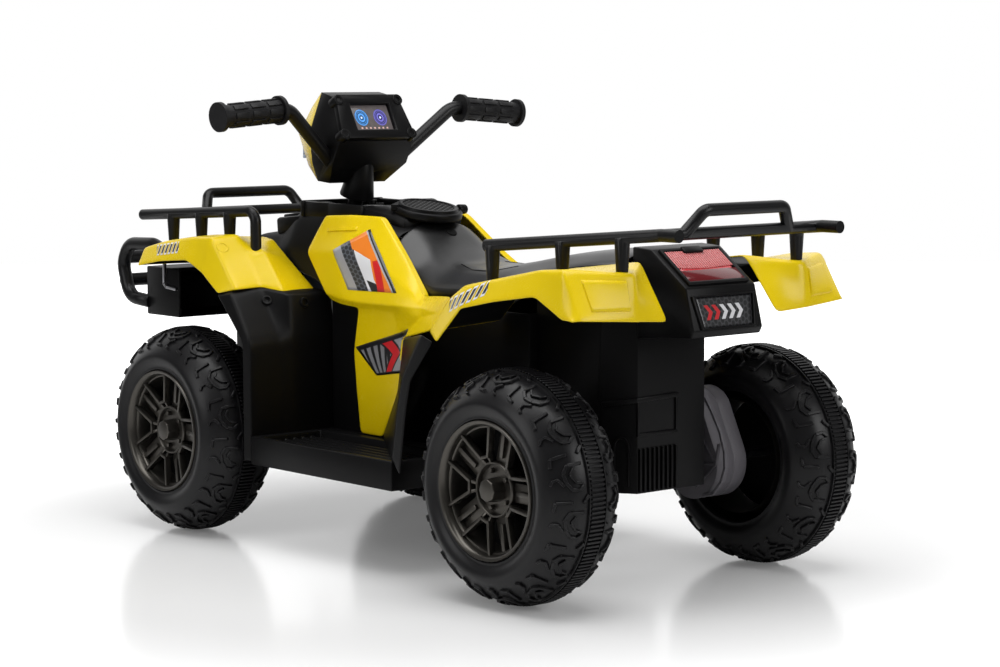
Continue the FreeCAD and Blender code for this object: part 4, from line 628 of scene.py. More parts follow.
def laid_pair(name, node, corners, toward, rise, finish, **sizes):
    """The same sheet on the left and the right yellow panel."""
    for side_name, side in SIDES.items():
        toward_side = Vector(toward) * Vector((1, side, 1))
        laid(f"{name}_{side_name}", f"{node}_{side_name}", path(corners, side), toward_side, rise, finish,
             "yellow_plastic", **sizes)


def smooth_path(points, steps):
    """A smooth curve through the points."""
    curve = []
    for index in range(len(points) - 1):
        before, start = points[max(index - 1, 0)], points[index]
        end, after = points[index + 1], points[min(index + 2, len(points) - 1)]
        for step in range(steps):
            share = step / steps
            curve.append(.5 * (2 * start + (end - before) * share
                               + (2 * before - 5 * start + 4 * end - after) * share ** 2
                               + (3 * start - before - 3 * end + after) * share ** 3))
    curve.append(points[-1])
    return curve


def spun(bm, profile, steps):
    """Turn a closed profile of (radius, along) places about the axle."""
    verts = [bm.verts.new((place[0], place[1], 0)) for place in profile]
    edges = [bm.edges.new(pair) for pair in zip(verts, verts[1:] + verts[:1])]
    bmesh.ops.spin(bm, geom=verts + edges, cent=(0, 0, 0), axis=(0, 1, 0), angle=2 * math.pi, steps=steps,
                   use_merge=True)
    bmesh.ops.remove_doubles(bm, verts=bm.verts, dist=1e-6)


def ringed(bm, count):
    """Repeat everything in a mesh evenly round the axle."""
    geom = bm.verts[:] + bm.edges[:] + bm.faces[:]
    bmesh.ops.spin(bm, geom=geom, cent=(0, 0, 0), axis=(0, 1, 0), angle=2 * math.pi * (count - 1) / count,
                   steps=count - 1, use_duplicate=True)


def joined(*meshes):
    """Several meshes as one."""
    whole = bmesh.new()
    for bm in meshes:
        mesh = bpy.data.meshes.new("part")
        bm.to_mesh(mesh)
        bm.free()
        whole.from_mesh(mesh)
        bpy.data.meshes.remove(mesh)
    return whole


# Body panels

skins = {}
# Yellow outside, black inner shell: the black is painted shade under the fenders, whose plastic is yellow
# through
YELLOW_SHADED_INSIDE = (YELLOW, BLACK)
PANEL_CUTS = 4
# Nodes copied with rounded edges, with the radius in metres, and tubes copied as they are
ROUNDED_NODES = {
    "footboard_left": .002, "footboard_right": .002, "rear_housing": .006, "chassis_tub": .004,
    "tail_box": .008, "front_fascia": .006, "gearbox_case": .001, "gearbox_cover": .001,
    "tail_light_lens": .002, "pod_rear_shell": .004, "pod_front_cowl": .006,
}
TUBE_NODES = ("front_rack", "rear_rack", "front_bumper", "handlebar", "grip_left", "grip_right")


def copied(node, kind, edge=0):
    """A copy of a node in place of it, in its own finish."""
    slot = NODE_SLOTS[node]
    bm = from_cad(node, edge)
    skins[node] = piece(f"{node}_{kind}", bm, SLOT_FINISHES[slot], BODY_OF[node], [node])


for name, table, finish, slot, inside in (
        ("front_fender", FRONT_FENDER_SHARES, YELLOW_SHADED_INSIDE, "yellow_plastic", (.45, .6, .5)),
        ("rear_fender", REAR_FENDER_SHARES, YELLOW_SHADED_INSIDE, "yellow_plastic", (-.5, .6, .5)),
        ("leg_shield", LEG_SHIELD_SHARES, BLACK, "black_plastic", (.5, .7, .5)),
        ("rear_arch", REAR_ARCH_SHARES, BLACK, "black_plastic", (-.4, .6, .5)),
        ("side_panel", SIDE_PANEL_SHARES, YELLOW, "yellow_plastic", (-.05, .1, .7))):
    for side_name, side in SIDES.items():
        skin(f"{name}_{side_name}", sheet(table), finish, spot(*inside), PANEL_CUTS, side)
for node, table, finish, inside, cuts in (
        ("top_cover", TOP_COVER_SHARES, BLACK, (.3, 0, .6), 3),
        ("seat", SEAT_SHARES, SEAT_BLACK, (-.2, 0, .5), 1)):
    skin(node, cage(saddle(table)), finish, spot(*inside), cuts)
for node, edge in ROUNDED_NODES.items():
    copied(node, "shape", edge)
for node in TUBE_NODES:
    copied(node, "tubes")


# Prints and raised fields on the panels: corners in millimetres, left top first

INWARD = (0, -1, 0)
FLASH = ((164, 108, 416), (100, 89, 448), (1, 122, 365), (113, 121, 363))
SLANTED_BARS = ((103, 116, 282), (-36, 120, 319), (-8, 120, 255), (52, 118, 246))
FRONT_MARK = ((432, 238, 416), (374, 234, 424), (366, 238, 408), (424, 240, 401))
REAR_MARK = ((-246, 235, 379), (-322, 233, 407), (-326, 236, 390), (-250, 238, 362))
REAR_FIELD = ((-474, 216, 417), (-500, 160, 414), (-509, 160, 375), (-498, 216, 377))
REAR_FIELD_IN = (.93, -.25, -.26)
SIDE_FIELD = ((196, 93, 446), (128, 90, 451), (126, 90, 444), (195, 93, 440))
PRINT_RISE, MARK_RISE = .5, .4
laid_pair("flash", "side_panel", FLASH, INWARD, PRINT_RISE, flash_print())
laid_pair("bars", "side_panel", SLANTED_BARS, INWARD, PRINT_RISE, bar_print())
MARK = mark_print()
laid_pair("front_mark", "front_fender", FRONT_MARK, INWARD, MARK_RISE, MARK)
laid_pair("rear_mark", "rear_fender", REAR_MARK, INWARD, MARK_RISE, MARK)
laid_pair("rear_field", "rear_fender", REAR_FIELD, REAR_FIELD_IN, 2.0, YELLOW, sunk=-1, columns=26, rows=12)
laid_pair("side_field", "side_panel", SIDE_FIELD, INWARD, 1.8, YELLOW, sunk=-.8, columns=30, rows=5)

# Dimple of the front fender and wells of the leg shield's screws: place, outward direction
DIMPLE = ((280, 220, 419), (-.74, .19, .64))
SCREW_WELLS = (((216.5, 188.5, 345), (-.80, .36, .47)), ((193.3, 139.2, 341), (-.98, 0, .21)))
# Sizes of a boss: radius, depth and radius of its hole
DIMPLE_SIZE = (9, 3, 6.5)
WELL_SIZE = (7, 5, 4.4)


def bosses(table, size, side):
    """A boss at each place of a table, on one side of the vehicle."""
    bm = bmesh.new()
    flip = Vector((1, side, 1))
    for place, out in table:
        boss(bm, at(*place) * flip, (Vector(out) * flip).normalized(), *size)
    return bm


for side_name, side in SIDES.items():
    trim(f"fender_dimple_{side_name}", bosses([DIMPLE], DIMPLE_SIZE, side), YELLOW, edge=.8)
    trim(f"shield_screw_wells_{side_name}", bosses(SCREW_WELLS, WELL_SIZE, side), BLACK)


# Dash: tray rim, deck and step, in millimetres; the size of a bar is its width and height

UP = Vector((0, 0, 1))
LEFTWARD = Vector((0, 1, 0))
TRAY_SIDE = ((284, 69, 470), (222, 70, 469), (150, 67, 468))
TRAY_SIDE_SIZE = (8, 22)
TRAY_FRONT = ((285, 72, 470), (285, -72, 470))
TRAY_FRONT_SIZE = (8, 24)
DECK_RUN = ((165, 0, 463), (70, 0, 448))
DECK_SIZE = (140, 32)
DECK_REAR_HALF = 100
DECK_TAPER_SHARE = .78
STEP_RUN = ((352, 0, 441), (290, 0, 447))
STEP_SIZE = (148, 26)
RIDGE_RUN = ((346, 58, 455), (300, 60, 460))
RIDGE_SIZE = (12, 7)
bm = bmesh.new()
for side in (LEFT, RIGHT):
    chain(bm, path(TRAY_SIDE, side), *TRAY_SIDE_SIZE, UP)
chain(bm, path(TRAY_FRONT), *TRAY_FRONT_SIZE, UP)
trim("dash_tray_rim", bm, BLACK, edge=2.5)
bm = bmesh.new()
beam(bm, *path(DECK_RUN), *DECK_SIZE, UP)
rear_half = [vert for vert in bm.verts if vert.co.x < at(DECK_REAR_HALF, 0, 0).x]
bmesh.ops.scale(bm, vec=(1, DECK_TAPER_SHARE, 1), verts=rear_half)
trim("dash_deck", bm, BLACK, edge=9)
bars("dash_step", [path(STEP_RUN)], STEP_SIZE, UP, edge=5)
bars("dash_step_ridges", [path(RIDGE_RUN, side) for side in (LEFT, RIGHT)], RIDGE_SIZE, UP, edge=2)


# Speaker: lid, lattice and catches, in metres; bars in millimetres, and a stub has two radii and a depth

LID_RADIUS = .050
LID_HEIGHT = .012
LATTICE_RADIUS = .0375
LATTICE_PITCH = .0066
LATTICE_ROWS = 11
LATTICE_TURN = 35
LATTICE_LIFT = .0012
LATTICE_BAR_SIZE = (2.2, 3.4)
# The ring round the lattice: (radius, height) places
LATTICE_RING = (
    (LATTICE_RADIUS, -.001), (LATTICE_RADIUS, .0036), (.0395, .0044), (.0430, .0038), (.0440, -.001),
)
FRONT_CATCH = (Vector((.031, .035, .001)), Vector((.014, .050, .001)))
FRONT_CATCH_SIZE = (11, 9)
SIDE_CATCH = Vector((-.010, -.054, -.004))
SIDE_CATCH_SIZE = (.0075, .0068, .014)
SPEAKER_LIFT = .002
speaker_low, speaker_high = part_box("speaker_grille")
speaker_out = Vector((-.19, 0, 1)).normalized()
speaker_middle = (speaker_low + speaker_high) / 2 + UP * SPEAKER_LIFT


def speaker_lattice():
    """Crossed ribs inside a raised ring."""
    bm = bmesh.new()
    for turn in (LATTICE_TURN, -LATTICE_TURN):
        spin = Matrix.Rotation(math.radians(turn), 3, "Y")
        for row in range(LATTICE_ROWS):
            offset = (row - LATTICE_ROWS // 2) * LATTICE_PITCH
            half = math.sqrt(LATTICE_RADIUS ** 2 - offset ** 2)
            ends = [spin @ Vector((reach, LATTICE_LIFT, offset)) for reach in (-half, half)]
            beam(bm, *ends, *LATTICE_BAR_SIZE, LEFTWARD)
    round_edges(bm, .0005, segments=1)
    spun(bm, LATTICE_RING, 48)
    lay = Matrix.Translation(speaker_middle) @ facing(speaker_out, "Y", "Z")
    bmesh.ops.transform(bm, matrix=lay, verts=bm.verts)
    return bm


bm = bmesh.new()
stub(bm, speaker_middle - speaker_out * LID_HEIGHT / 2, speaker_out, LID_RADIUS, LID_RADIUS, LID_HEIGHT, 64)
round_edges(bm, .003, segments=3)
piece("speaker_lid", bm, BLACK, "chassis", ["speaker_grille"])
trim("speaker_lattice", speaker_lattice(), BLACK, edge=0)
bm = bmesh.new()
beam(bm, *[speaker_middle + end for end in FRONT_CATCH], *FRONT_CATCH_SIZE, UP)
stub(bm, speaker_middle + SIDE_CATCH, -LEFTWARD, *SIDE_CATCH_SIZE, 24)
trim("speaker_catches", bm, BLACK, edge=1.5)


# Seat: painted shade along its side creases and in its finger hole

ABOVE_SEAT = 600
CREASE = ((-40, 40), (-90, 62), (-140, 70), (-190, 66))
CREASE_SIZE = (1.2, .8)
HOLE_PLACE = (38, -6)
HOLE_SIZE = (.0095, .0085, .003)


def on_seat(along, across):
    """The place on the seat under a point, and the seat's normal there."""
    return surface("seat").ray_cast(at(along, across, ABOVE_SEAT), -UP)[1:3]


# Dark lines on the seat's side creases: painted shade in the creases
bm = bmesh.new()
for side in (LEFT, RIGHT):
    chain(bm, [on_seat(along, side * across)[0] for along, across in CREASE], *CREASE_SIZE, UP)
trim("seat_crease_shade", bm, PAINTED_SHADE, edge=0)
# A dark disc in place of the finger hole: painted shade in the hole
bm = bmesh.new()
stub(bm, *on_seat(*HOLE_PLACE), *HOLE_SIZE, 32)
trim("seat_hole_shade", bm, PAINTED_SHADE)


# Steering pod: bezel, screen, screw ears and neck

POD_MIDDLE = at(216.9, 0, 601.5)
POD_UP = Vector((34, 0, 65)).normalized()
POD_OUT = Vector((-65, 0, 34)).normalized()
POD_EDGE = ((57, 35.5), (-57, 35.5), (-68, -36), (68, -36))
POD_OPENING = ((36, 20), (-36, 20), (-35, -22), (35, -22))
BEZEL_SINK, BEZEL_DEPTH = 1, .011
SCREEN_RUN = ((0, -22), (0, 21))
SCREEN_SIZE = (72, 6)
EAR_PLACES = ((226, 54, 626), (201, 61, 577))
EAR_SIZE = (8.5, 16, 3.6)
NECK_FOOT, NECK_TOP = at(250.4, 0, 486), at(233.5, 0, 541)
NECK_FOOT_RADIUS, NECK_TOP_RADIUS = .026, .0155


def on_pod(across, up, out=0):
    """A place on the pod's rear face."""
    return POD_MIDDLE + Vector((0, across / 1000, 0)) + POD_UP * up / 1000 + POD_OUT * out / 1000


bm = framed(on_pod, POD_EDGE, POD_OPENING, BEZEL_SINK, POD_OUT * BEZEL_DEPTH)
trim("pod_bezel", bm, BLACK, body="steering", edge=2.5)
bm = bmesh.new()
beam(bm, *[on_pod(*place) for place in SCREEN_RUN], *SCREEN_SIZE, POD_OUT)
round_edges(bm, .0015)
piece("screen_plate", bm, SCREEN, "steering", ["dash_screen"])
bm = bmesh.new()
for side in (LEFT, RIGHT):
    for place in path(EAR_PLACES, side):
        boss(bm, place, POD_OUT, *EAR_SIZE)
trim("pod_ears", bm, BLACK, body="steering", edge=1)
bm = bmesh.new()
neck = NECK_TOP - NECK_FOOT
stub(bm, (NECK_FOOT + NECK_TOP) / 2, neck, NECK_FOOT_RADIUS, NECK_TOP_RADIUS, neck.length, 40)
trim("pod_neck", bm, BLACK, body="steering", edge=3)


# Grips: pads in bands round them, in metres

BAR_CENTRE = at(236.9, 0, 530)
GRIP_START = Vector((-.026, .150, .0865))
GRIP_END = Vector((-.032, .272, .077))
PAD_BANDS = (.034, .064, .094)
PAD_RADIUS = .0158
PAD_SIZE = (.0036, .024, .0085)
PADS_ROUND = 8


def grip_pads(side):
    """Raised pads in three bands round a grip."""
    flip = Vector((1, side, 1))
    start = BAR_CENTRE + GRIP_START * flip
    along = (BAR_CENTRE + GRIP_END * flip - start).normalized()
    bm = bmesh.new()
    for band in PAD_BANDS:
        pad = Matrix.Translation((PAD_RADIUS, band, 0)) @ Matrix.Diagonal((*PAD_SIZE, 1))
        bmesh.ops.create_cube(bm, size=1, matrix=pad)
    round_edges(bm, .0008)
    ringed(bm, PADS_ROUND)
    bmesh.ops.transform(bm, matrix=Matrix.Translation(start) @ facing(along, "Y", "Z"), verts=bm.verts)
    return bm


for side_name, side in SIDES.items():
    trim(f"grip_pads_{side_name}", grip_pads(side), RUBBER, "steering", 0)


# Tail: lens ribs and frame, mesh plate

LENS_MIDDLE = at(-473.4, 0, 422.7)
LENS_UP = Vector((.805, 0, .593)).normalized()
LENS_OUT = Vector((-.593, 0, .805)).normalized()
LENS_RIBS = 25
LENS_RIB_SPAN = 47
LENS_RIB_FOOT, LENS_RIB_TOP = -6, 29
LENS_RIB_FOOT_SLOPE = .06
LENS_RIB_LIFT = .3
LENS_RIB_SIZE = (2.9, 2.0)
LENS_FOOT_RUN = ((0, -30, .2), (0, -8, .2))
LENS_FOOT_SIZE = (98, 1.6)
LENS_FRAME = ((54, 35), (-54, 35), (-54, -34), (54, -34))
LENS_OPENING = ((49, 30), (-49, 30), (-49, -29), (49, -29))
LENS_FRAME_SINK, LENS_FRAME_DEPTH = 3, .005
LENS_TAB_RUN = ((0, 24), (0, 35))
LENS_TAB_SIZE = (34, 8)
PLATE_CORNERS = path(((-506, 51, 386), (-506, -51, 386), (-516, -44, 348), (-516, 44, 348)))
PLATE_MIDDLE = sum(PLATE_CORNERS, Vector()) / 4
PLATE_IN = Vector((.967, 0, -.253))
PLATE_FRAME_SHARE = 1.12
PLATE_FRAME_DEPTH = .004


def on_lens(across, up, out=0):
    """A place on the tail light."""
    return LENS_MIDDLE + Vector((0, across / 1000, 0)) + LENS_UP * up / 1000 + LENS_OUT * out / 1000


def lens_rib(across):
    """Ends of one rib, whose foot is higher toward the sides."""
    foot = LENS_RIB_FOOT + abs(across) * LENS_RIB_FOOT_SLOPE
    return on_lens(across, foot, LENS_RIB_LIFT), on_lens(across, LENS_RIB_TOP, LENS_RIB_LIFT)


ribs = [lens_rib(LENS_RIB_SPAN * (2 * rib / (LENS_RIBS - 1) - 1)) for rib in range(LENS_RIBS)]
bars("tail_lens_ribs", ribs, LENS_RIB_SIZE, LENS_OUT, PALE_RED, "red_lens")
foot = [on_lens(*place) for place in LENS_FOOT_RUN]
bars("tail_lens_foot", [foot], LENS_FOOT_SIZE, LENS_OUT, DEEP_RED, "red_lens")
bm = framed(on_lens, LENS_FRAME, LENS_OPENING, LENS_FRAME_SINK, LENS_OUT * LENS_FRAME_DEPTH)
beam(bm, *[on_lens(*place) for place in LENS_TAB_RUN], *LENS_TAB_SIZE, LENS_OUT)
trim("tail_lens_frame", bm, BLACK, edge=1.5)
laid("tail_mesh", "tail_box", PLATE_CORNERS, PLATE_IN, .6, mesh_print(), "black_plastic")
plate_edge = [PLATE_MIDDLE + (corner - PLATE_MIDDLE) * PLATE_FRAME_SHARE for corner in PLATE_CORNERS]
bm = frame_plate(plate_edge, PLATE_CORNERS, PLATE_IN * -PLATE_FRAME_DEPTH)
trim("tail_plate_frame", bm, BLACK, edge=1.2)


# Rear housing: ledge, recess, louvres and arch, in millimetres

AFT = Vector((-1, 0, 0))
LEDGE = ((-378, 84.5, 244), (-414, 61, 250), (-415, -8, 252))
LEDGE_OUT = Vector((-.9, .4, 0))
LEDGE_SIZE = (6, 8)
RECESS_BARS = (
    ((-415.5, 60, 205), (-415.5, 60, 250)), ((-415.5, -8, 205), (-415.5, -8, 250)),
    ((-415.5, 62, 205), (-415.5, -10, 205)),
)
RECESS_SIZE = (4, 4)
LOUVRES = 9
LOUVRE_PITCH = 8
LOUVRE_FIRST = 57
LOUVRE_ALONG, LOUVRE_FOOT, LOUVRE_TOP = -416, 131, 187
LOUVRE_SIZE = (3.4, 5)
# The arch: its feet, then in metres how high above them its round top begins and how far that rises
ARCH_FRONT, ARCH_REAR = at(-389.5, 77.4, 140), at(-405, 66.8, 140)
ARCH_SPRING, ARCH_RISE = .048, .013
ARCH_STEP = 20
ARCH_OUT = Vector((-.55, .84, 0))
ARCH_SIZE = (3, 3)
bm = bmesh.new()
chain(bm, path(LEDGE), *LEDGE_SIZE, LEDGE_OUT)
for run in RECESS_BARS:
    beam(bm, *path(run), *RECESS_SIZE, AFT)
for louvre in range(LOUVRES):
    across = LOUVRE_FIRST - LOUVRE_PITCH * louvre
    run = [at(LOUVRE_ALONG, across, up) for up in (LOUVRE_FOOT, LOUVRE_TOP)]
    beam(bm, *run, *LOUVRE_SIZE, AFT)
arch = [ARCH_FRONT]
for turn in range(0, 181, ARCH_STEP):
    angle = math.radians(turn)
    level = ARCH_SPRING + ARCH_RISE * math.sin(angle)
    arch.append(ARCH_FRONT.lerp(ARCH_REAR, (1 - math.cos(angle)) / 2) + UP * level)
chain(bm, arch + [ARCH_REAR], *ARCH_SIZE, ARCH_OUT)
trim("housing_louvres", bm, BLACK, edge=.8)


# Headlight brackets and backs, and the tray under the nose

BRACKET = ((474.8, 192, 389.6), (475.9, 192, 354.2), (469.2, 192, 349.3), (444.9, 192, 347.2))
BRACKET_SIZE = (4, 5)
HEADLIGHT_OFFSET = .138
HEADLIGHT_BACK = (.002, .078, .050)
NOSE_TRAY_RUN = ((312, 0, 381), (500, 0, 381))
NOSE_TRAY_SIZE = (216, 3)
bm = bmesh.new()
for side in (LEFT, RIGHT):
    chain(bm, path(BRACKET, side), *BRACKET_SIZE, LEFTWARD * side)
trim("headlight_brackets", bm, STEEL)
lamp_low, lamp_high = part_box("headlights")
bm = bmesh.new()
for side in (LEFT, RIGHT):
    height = (lamp_low.z + lamp_high.z) / 2
    rear_face = Vector((lamp_low.x - HEADLIGHT_BACK[0] / 2, side * HEADLIGHT_OFFSET, height))
    back_size = Matrix.Diagonal((*HEADLIGHT_BACK, 1))
    bmesh.ops.create_cube(bm, size=1, matrix=Matrix.Translation(rear_face) @ back_size)
trim("headlight_backs", bm, BLACK, edge=.4)
bars("nose_tray", [path(NOSE_TRAY_RUN)], NOSE_TRAY_SIZE, UP)


# Gearbox: star ribs and rim on its face, in millimetres

FACE = -86
STAR = (-412.1, FACE, 151.8)
STAR_SIZE = (2.6, 5)
STAR_ENDS = ((-385.4, FACE, 186.0), (-385.6, FACE, 151.2), (-374.6, FACE, 116.9), (-416.9, FACE, 180.0))
GEARBOX_RIM = (
    (-385.9, FACE, 247.4), (-403.6, FACE, 223.8), (-420.4, FACE, 196.3), (-428.9, FACE, 170.7),
    (-429.9, FACE, 149.6), (-422.8, FACE, 130.2), (-408.2, FACE, 113.8), (-389.7, FACE, 107.5),
)
GEARBOX_RIM_SIZE = (4, 7)
bm = bmesh.new()
for end in STAR_ENDS:
    beam(bm, *path((STAR, end)), *STAR_SIZE, LEFTWARD)
chain(bm, path(GEARBOX_RIM), *GEARBOX_RIM_SIZE, LEFTWARD)
trim("gearbox_ribs", bm, GREY)


# Wheels, about an axle along Y with the outer face at +Y, in metres

LUG_TILES = 15
CROWN_RIBS = 165
CROWN_RIB_SIZE = (.0042, .022, .0030)
CROWN_RIB_RADIUS = .1477
CROWN_RING_OFFSET = .0135
# Section of a crown ring: (radius, along) places about its own middle
CROWN_RING = ((.1445, -.0012), (.1488, -.0007), (.1488, .0007), (.1445, .0012))
LUG_SINK = .0015
LUG_RISE = .0034
LUG_TOP_SHARE = .78
# Ridges of one lug tile: width, and places in millimetres round the tyre and down from the crown's middle
LUG_RIDGES = (
    (5.0, ((-18.5, 20), (-18, 38), (-8, 44), (4.5, 41.5), (14, 35), (15.5, 26), (10, 20))),
    (3.6, ((-13, 31), (-5, 36), (5, 29.5), (7, 22))),
    (5.0, ((-32, 35), (-31, 56), (-19, 58))),
    (4.0, ((6, 61), (0, 58), (-1, 51.5), (3.5, 48), (8, 45))),
    (5.0, ((31, 21), (23, 14.5))),
)


half_section = smooth_path([Vector((r * TYRE_RADIUS, y * TYRE_HALF_WIDTH)) for r, y in CARCASS_SHARES], 4)
crown_down = half_section[::-1]


def on_tread(round_tyre, down, height):
    """A place above the tyre's surface, from lengths round the tyre and down from the crown's middle."""
    length = 0
    for start, end in zip(crown_down, crown_down[1:]):
        step = (end - start).length
        if length + step >= down or end is crown_down[-1]:
            break
        length += step
    along = (end - start) / step
    point = start + along * (down - length) + Vector((along.y, -along.x)) * height
    angle = round_tyre / TYRE_RADIUS
    return Vector((point.x * math.cos(angle), point.y, point.x * math.sin(angle)))


def lug_bar(bm, start, end, width):
    """One straight ridge of a lug, in flat places round the tyre and down from the crown."""
    run = end - start
    grow = Matrix.Diagonal((run.length + width * .7, width, LUG_RISE + LUG_SINK, 1))
    turn = Matrix.Rotation(math.atan2(run.y, run.x), 4, "Z")
    middle = (start + end) / 2
    lift = Matrix.Translation((middle.x, middle.y, (LUG_RISE - LUG_SINK) / 2))
    made = bmesh.ops.create_cube(bm, size=1, matrix=lift @ turn @ grow)
    top = [vert for vert in made["verts"] if vert.co.z > 0]
    about = Matrix.Translation((-middle.x, -middle.y, 0))
    bmesh.ops.scale(bm, vec=(LUG_TOP_SHARE, LUG_TOP_SHARE, 1), space=about, verts=top)


def lug_tile():
    """One tile of shoulder lugs, laid on the tyre."""
    bm = bmesh.new()
    for width, places in LUG_RIDGES:
        ridge = [Vector(place) / 1000 for place in places]
        for start, end in zip(ridge, ridge[1:]):
            lug_bar(bm, start, end, width / 1000)
    round_edges(bm, .0006, segments=1)
    for vert in bm.verts:
        vert.co = on_tread(*vert.co)
    return bm


def tyre_mesh():
    """Carcass, shoulder lugs on both sides half a tile apart, and ribs and rings round the crown."""
    carcass = bmesh.new()
    section = half_section + [Vector((place.x, -place.y)) for place in crown_down[1:]]
    spun(carcass, section, 120)
    outer = lug_tile()
    ringed(outer, LUG_TILES)
    inner = lug_tile()
    ringed(inner, LUG_TILES)
    flipped(inner)
    half_tile = Matrix.Rotation(math.pi / LUG_TILES, 3, "Y")
    bmesh.ops.rotate(inner, cent=(0, 0, 0), matrix=half_tile, verts=inner.verts)
    ribs = bmesh.new()
    rib = Matrix.Translation((CROWN_RIB_RADIUS, 0, 0)) @ Matrix.Diagonal((*CROWN_RIB_SIZE, 1))
    bmesh.ops.create_cube(ribs, size=1, matrix=rib)
    round_edges(ribs, .0005, segments=1)
    ringed(ribs, CROWN_RIBS)
    rings = bmesh.new()
    for side in (RIGHT, LEFT):
        spun(rings, [(radius, side * CROWN_RING_OFFSET + along) for radius, along in CROWN_RING], 120)
    whole = joined(carcass, outer, inner, ribs, rings)
    bmesh.ops.recalc_face_normals(whole, faces=whole.faces)
    return whole


WINDOWS = 5
# Edge bars on one side of a window, then the bar across its foot: start, end, and width in millimetres
WINDOW_SIDES = (
    ((.0410, .041, .0065), (.0785, .047, .0295), 4.2),
    ((.0350, .036, .0050), (.0420, .040, .0070), 4.0),
)
WINDOW_FOOT = ((.0420, .041, -.0085), (.0420, .041, .0085), 4.2)
WINDOW_BAR_HEIGHT = 10
# The web between two windows and the bar along its middle: start, end, width and height in millimetres
WEB_BARS = (((.0350, .033, 0), (.0785, .035, 0), 25, 6), ((.0440, .0365, 0), (.0785, .041, 0), 6.5, 9))
# Sections of the rim's barrel, hub and back disc: (radius, along the axle) places
BARREL = (
    (.0770, -.050), (.0770, .0440), (.0785, .0465), (.0800, .0470), (.0812, .0520), (.0830, .0560),
    (.0850, .0575), (.0875, .0578), (.0885, .0565), (.0890, .0530),
)
HUB = (
    (.0002, .0340), (.0310, .0340), (.0318, .0400), (.0325, .0408), (.0345, .0408), (.0355, .0395),
    (.0360, .0200),
)
BACK_DISC = ((.0001, .020), (.0769, .016), (.0769, .014), (.0001, .018))
# Hub cap and bolts: place, then two radii and a depth
CAP_PLACE, CAP_SIZE = Vector((0, .043, 0)), (.0165, .0147, .020)
BOLT_PLACE, BOLT_SIZE = Vector((.0245, .0365, 0)), (.0036, .0031, .008)


def rim_mesh():
    """Windows with raised edges, webs with a middle bar between them, lipped barrel, hub, cap and bolts."""
    out = Vector((0, 1, 0))
    sector = bmesh.new()
    for side in (LEFT, RIGHT):
        flip = Vector((1, 1, side))
        for start, end, width in WINDOW_SIDES:
            beam(sector, Vector(start) * flip, Vector(end) * flip, width, WINDOW_BAR_HEIGHT, out)
    start, end, width = WINDOW_FOOT
    beam(sector, Vector(start), Vector(end), width, WINDOW_BAR_HEIGHT, out)
    spread = Matrix.Rotation(math.pi / WINDOWS, 3, "Y")
    for start, end, width, height in WEB_BARS:
        beam(sector, spread @ Vector(start), spread @ Vector(end), width, height, out)
    round_edges(sector, .0008)
    ringed(sector, WINDOWS)
    rings = bmesh.new()
    spun(rings, BARREL, 96)
    spun(rings, HUB, 64)
    cap = bmesh.new()
    stub(cap, CAP_PLACE, out, *CAP_SIZE, 8)
    round_edges(cap, .0016, segments=3)
    bolts = bmesh.new()
    stub(bolts, BOLT_PLACE, out, *BOLT_SIZE, 12)
    round_edges(bolts, .0006, segments=1)
    ringed(bolts, WINDOWS)
    return joined(sector, rings, cap, bolts)


def back_disc_mesh():
    """The dark disc behind the windows: painted shade where the inside of the wheel lies in shadow."""
    bm = bmesh.new()
    spun(bm, BACK_DISC, 48)
    return bm


def put_on_axle(bm, side, axle):
    """Move a wheel piece to its axle, outer face outwards."""
    if side == RIGHT:
        bmesh.ops.rotate(bm, cent=(0, 0, 0), matrix=Matrix.Rotation(math.pi, 3, "Z"), verts=bm.verts)
    bmesh.ops.translate(bm, vec=(axle, side * WHEEL_OFFSET, TYRE_RADIUS), verts=bm.verts)


for end_name, axle in (("front", FRONT_AXLE), ("rear", REAR_AXLE)):
    for side_name, side in SIDES.items():
        corner = f"{end_name}_{side_name}"
        for kind, make, finish, slot, stands in (
                ("tread", tyre_mesh, TYRE, "tyre_black", [f"tyre_{corner}"]),
                ("wheel", rim_mesh, RIM, "rim_gunmetal", [f"rim_{corner}"]),
                ("shade_disc", back_disc_mesh, PAINTED_SHADE, "rim_gunmetal", [])):
            bm = make()
            put_on_axle(bm, side, axle)
            piece(f"{kind}_{corner}", bm, finish, f"wheel_{corner}", stands)


# Finishes of the nodes that are shown as they are

for node, obj in nodes.items():
    obj.data.materials.clear()
    obj.data.materials.append(SLOT_FINISHES[NODE_SLOTS[node]])


# Camera

CAMERA_PLACE = Vector((-2.7594, 2.2819, .6582))
CAMERA_TURN, CAMERA_TILT, CAMERA_ROLL = 229.4272, 5.724, -.171
LENS, SENSOR_WIDTH = 91.305, 36

turn, tilt, roll = (math.radians(angle) for angle in (CAMERA_TURN, CAMERA_TILT, CAMERA_ROLL))
back = Vector((math.sin(turn) * math.cos(tilt), -math.cos(turn) * math.cos(tilt), math.sin(tilt)))
right = (-back).cross(Vector((0, 0, 1))).normalized()
up = right.cross(-back)
rolled_right = right * math.cos(roll) + up * math.sin(roll)
rolled_up = up * math.cos(roll) - right * math.sin(roll)
axes = Matrix((rolled_right, rolled_up, back))
camera = bpy.data.objects.new("camera", bpy.data.cameras.new("camera"))
camera.data.lens = LENS
camera.data.sensor_fit = "HORIZONTAL"
camera.data.sensor_width = SENSOR_WIDTH
camera.matrix_world = Matrix.Translation(CAMERA_PLACE) @ axes.transposed().to_4x4()
scene.collection.objects.link(camera)
scene.camera = camera


# Studio: white floor and backdrop, soft lights, and a dim surround that the camera sees as white

FLOOR_SIZE = 12
BACKDROP_DISTANCE = 5.5
BACKDROP_SIZE = 9
FLOOR_LIT = .60
FLOOR_FADE = 1.4
FLOOR_GLOW = .11
SURROUND_LEVEL = .16


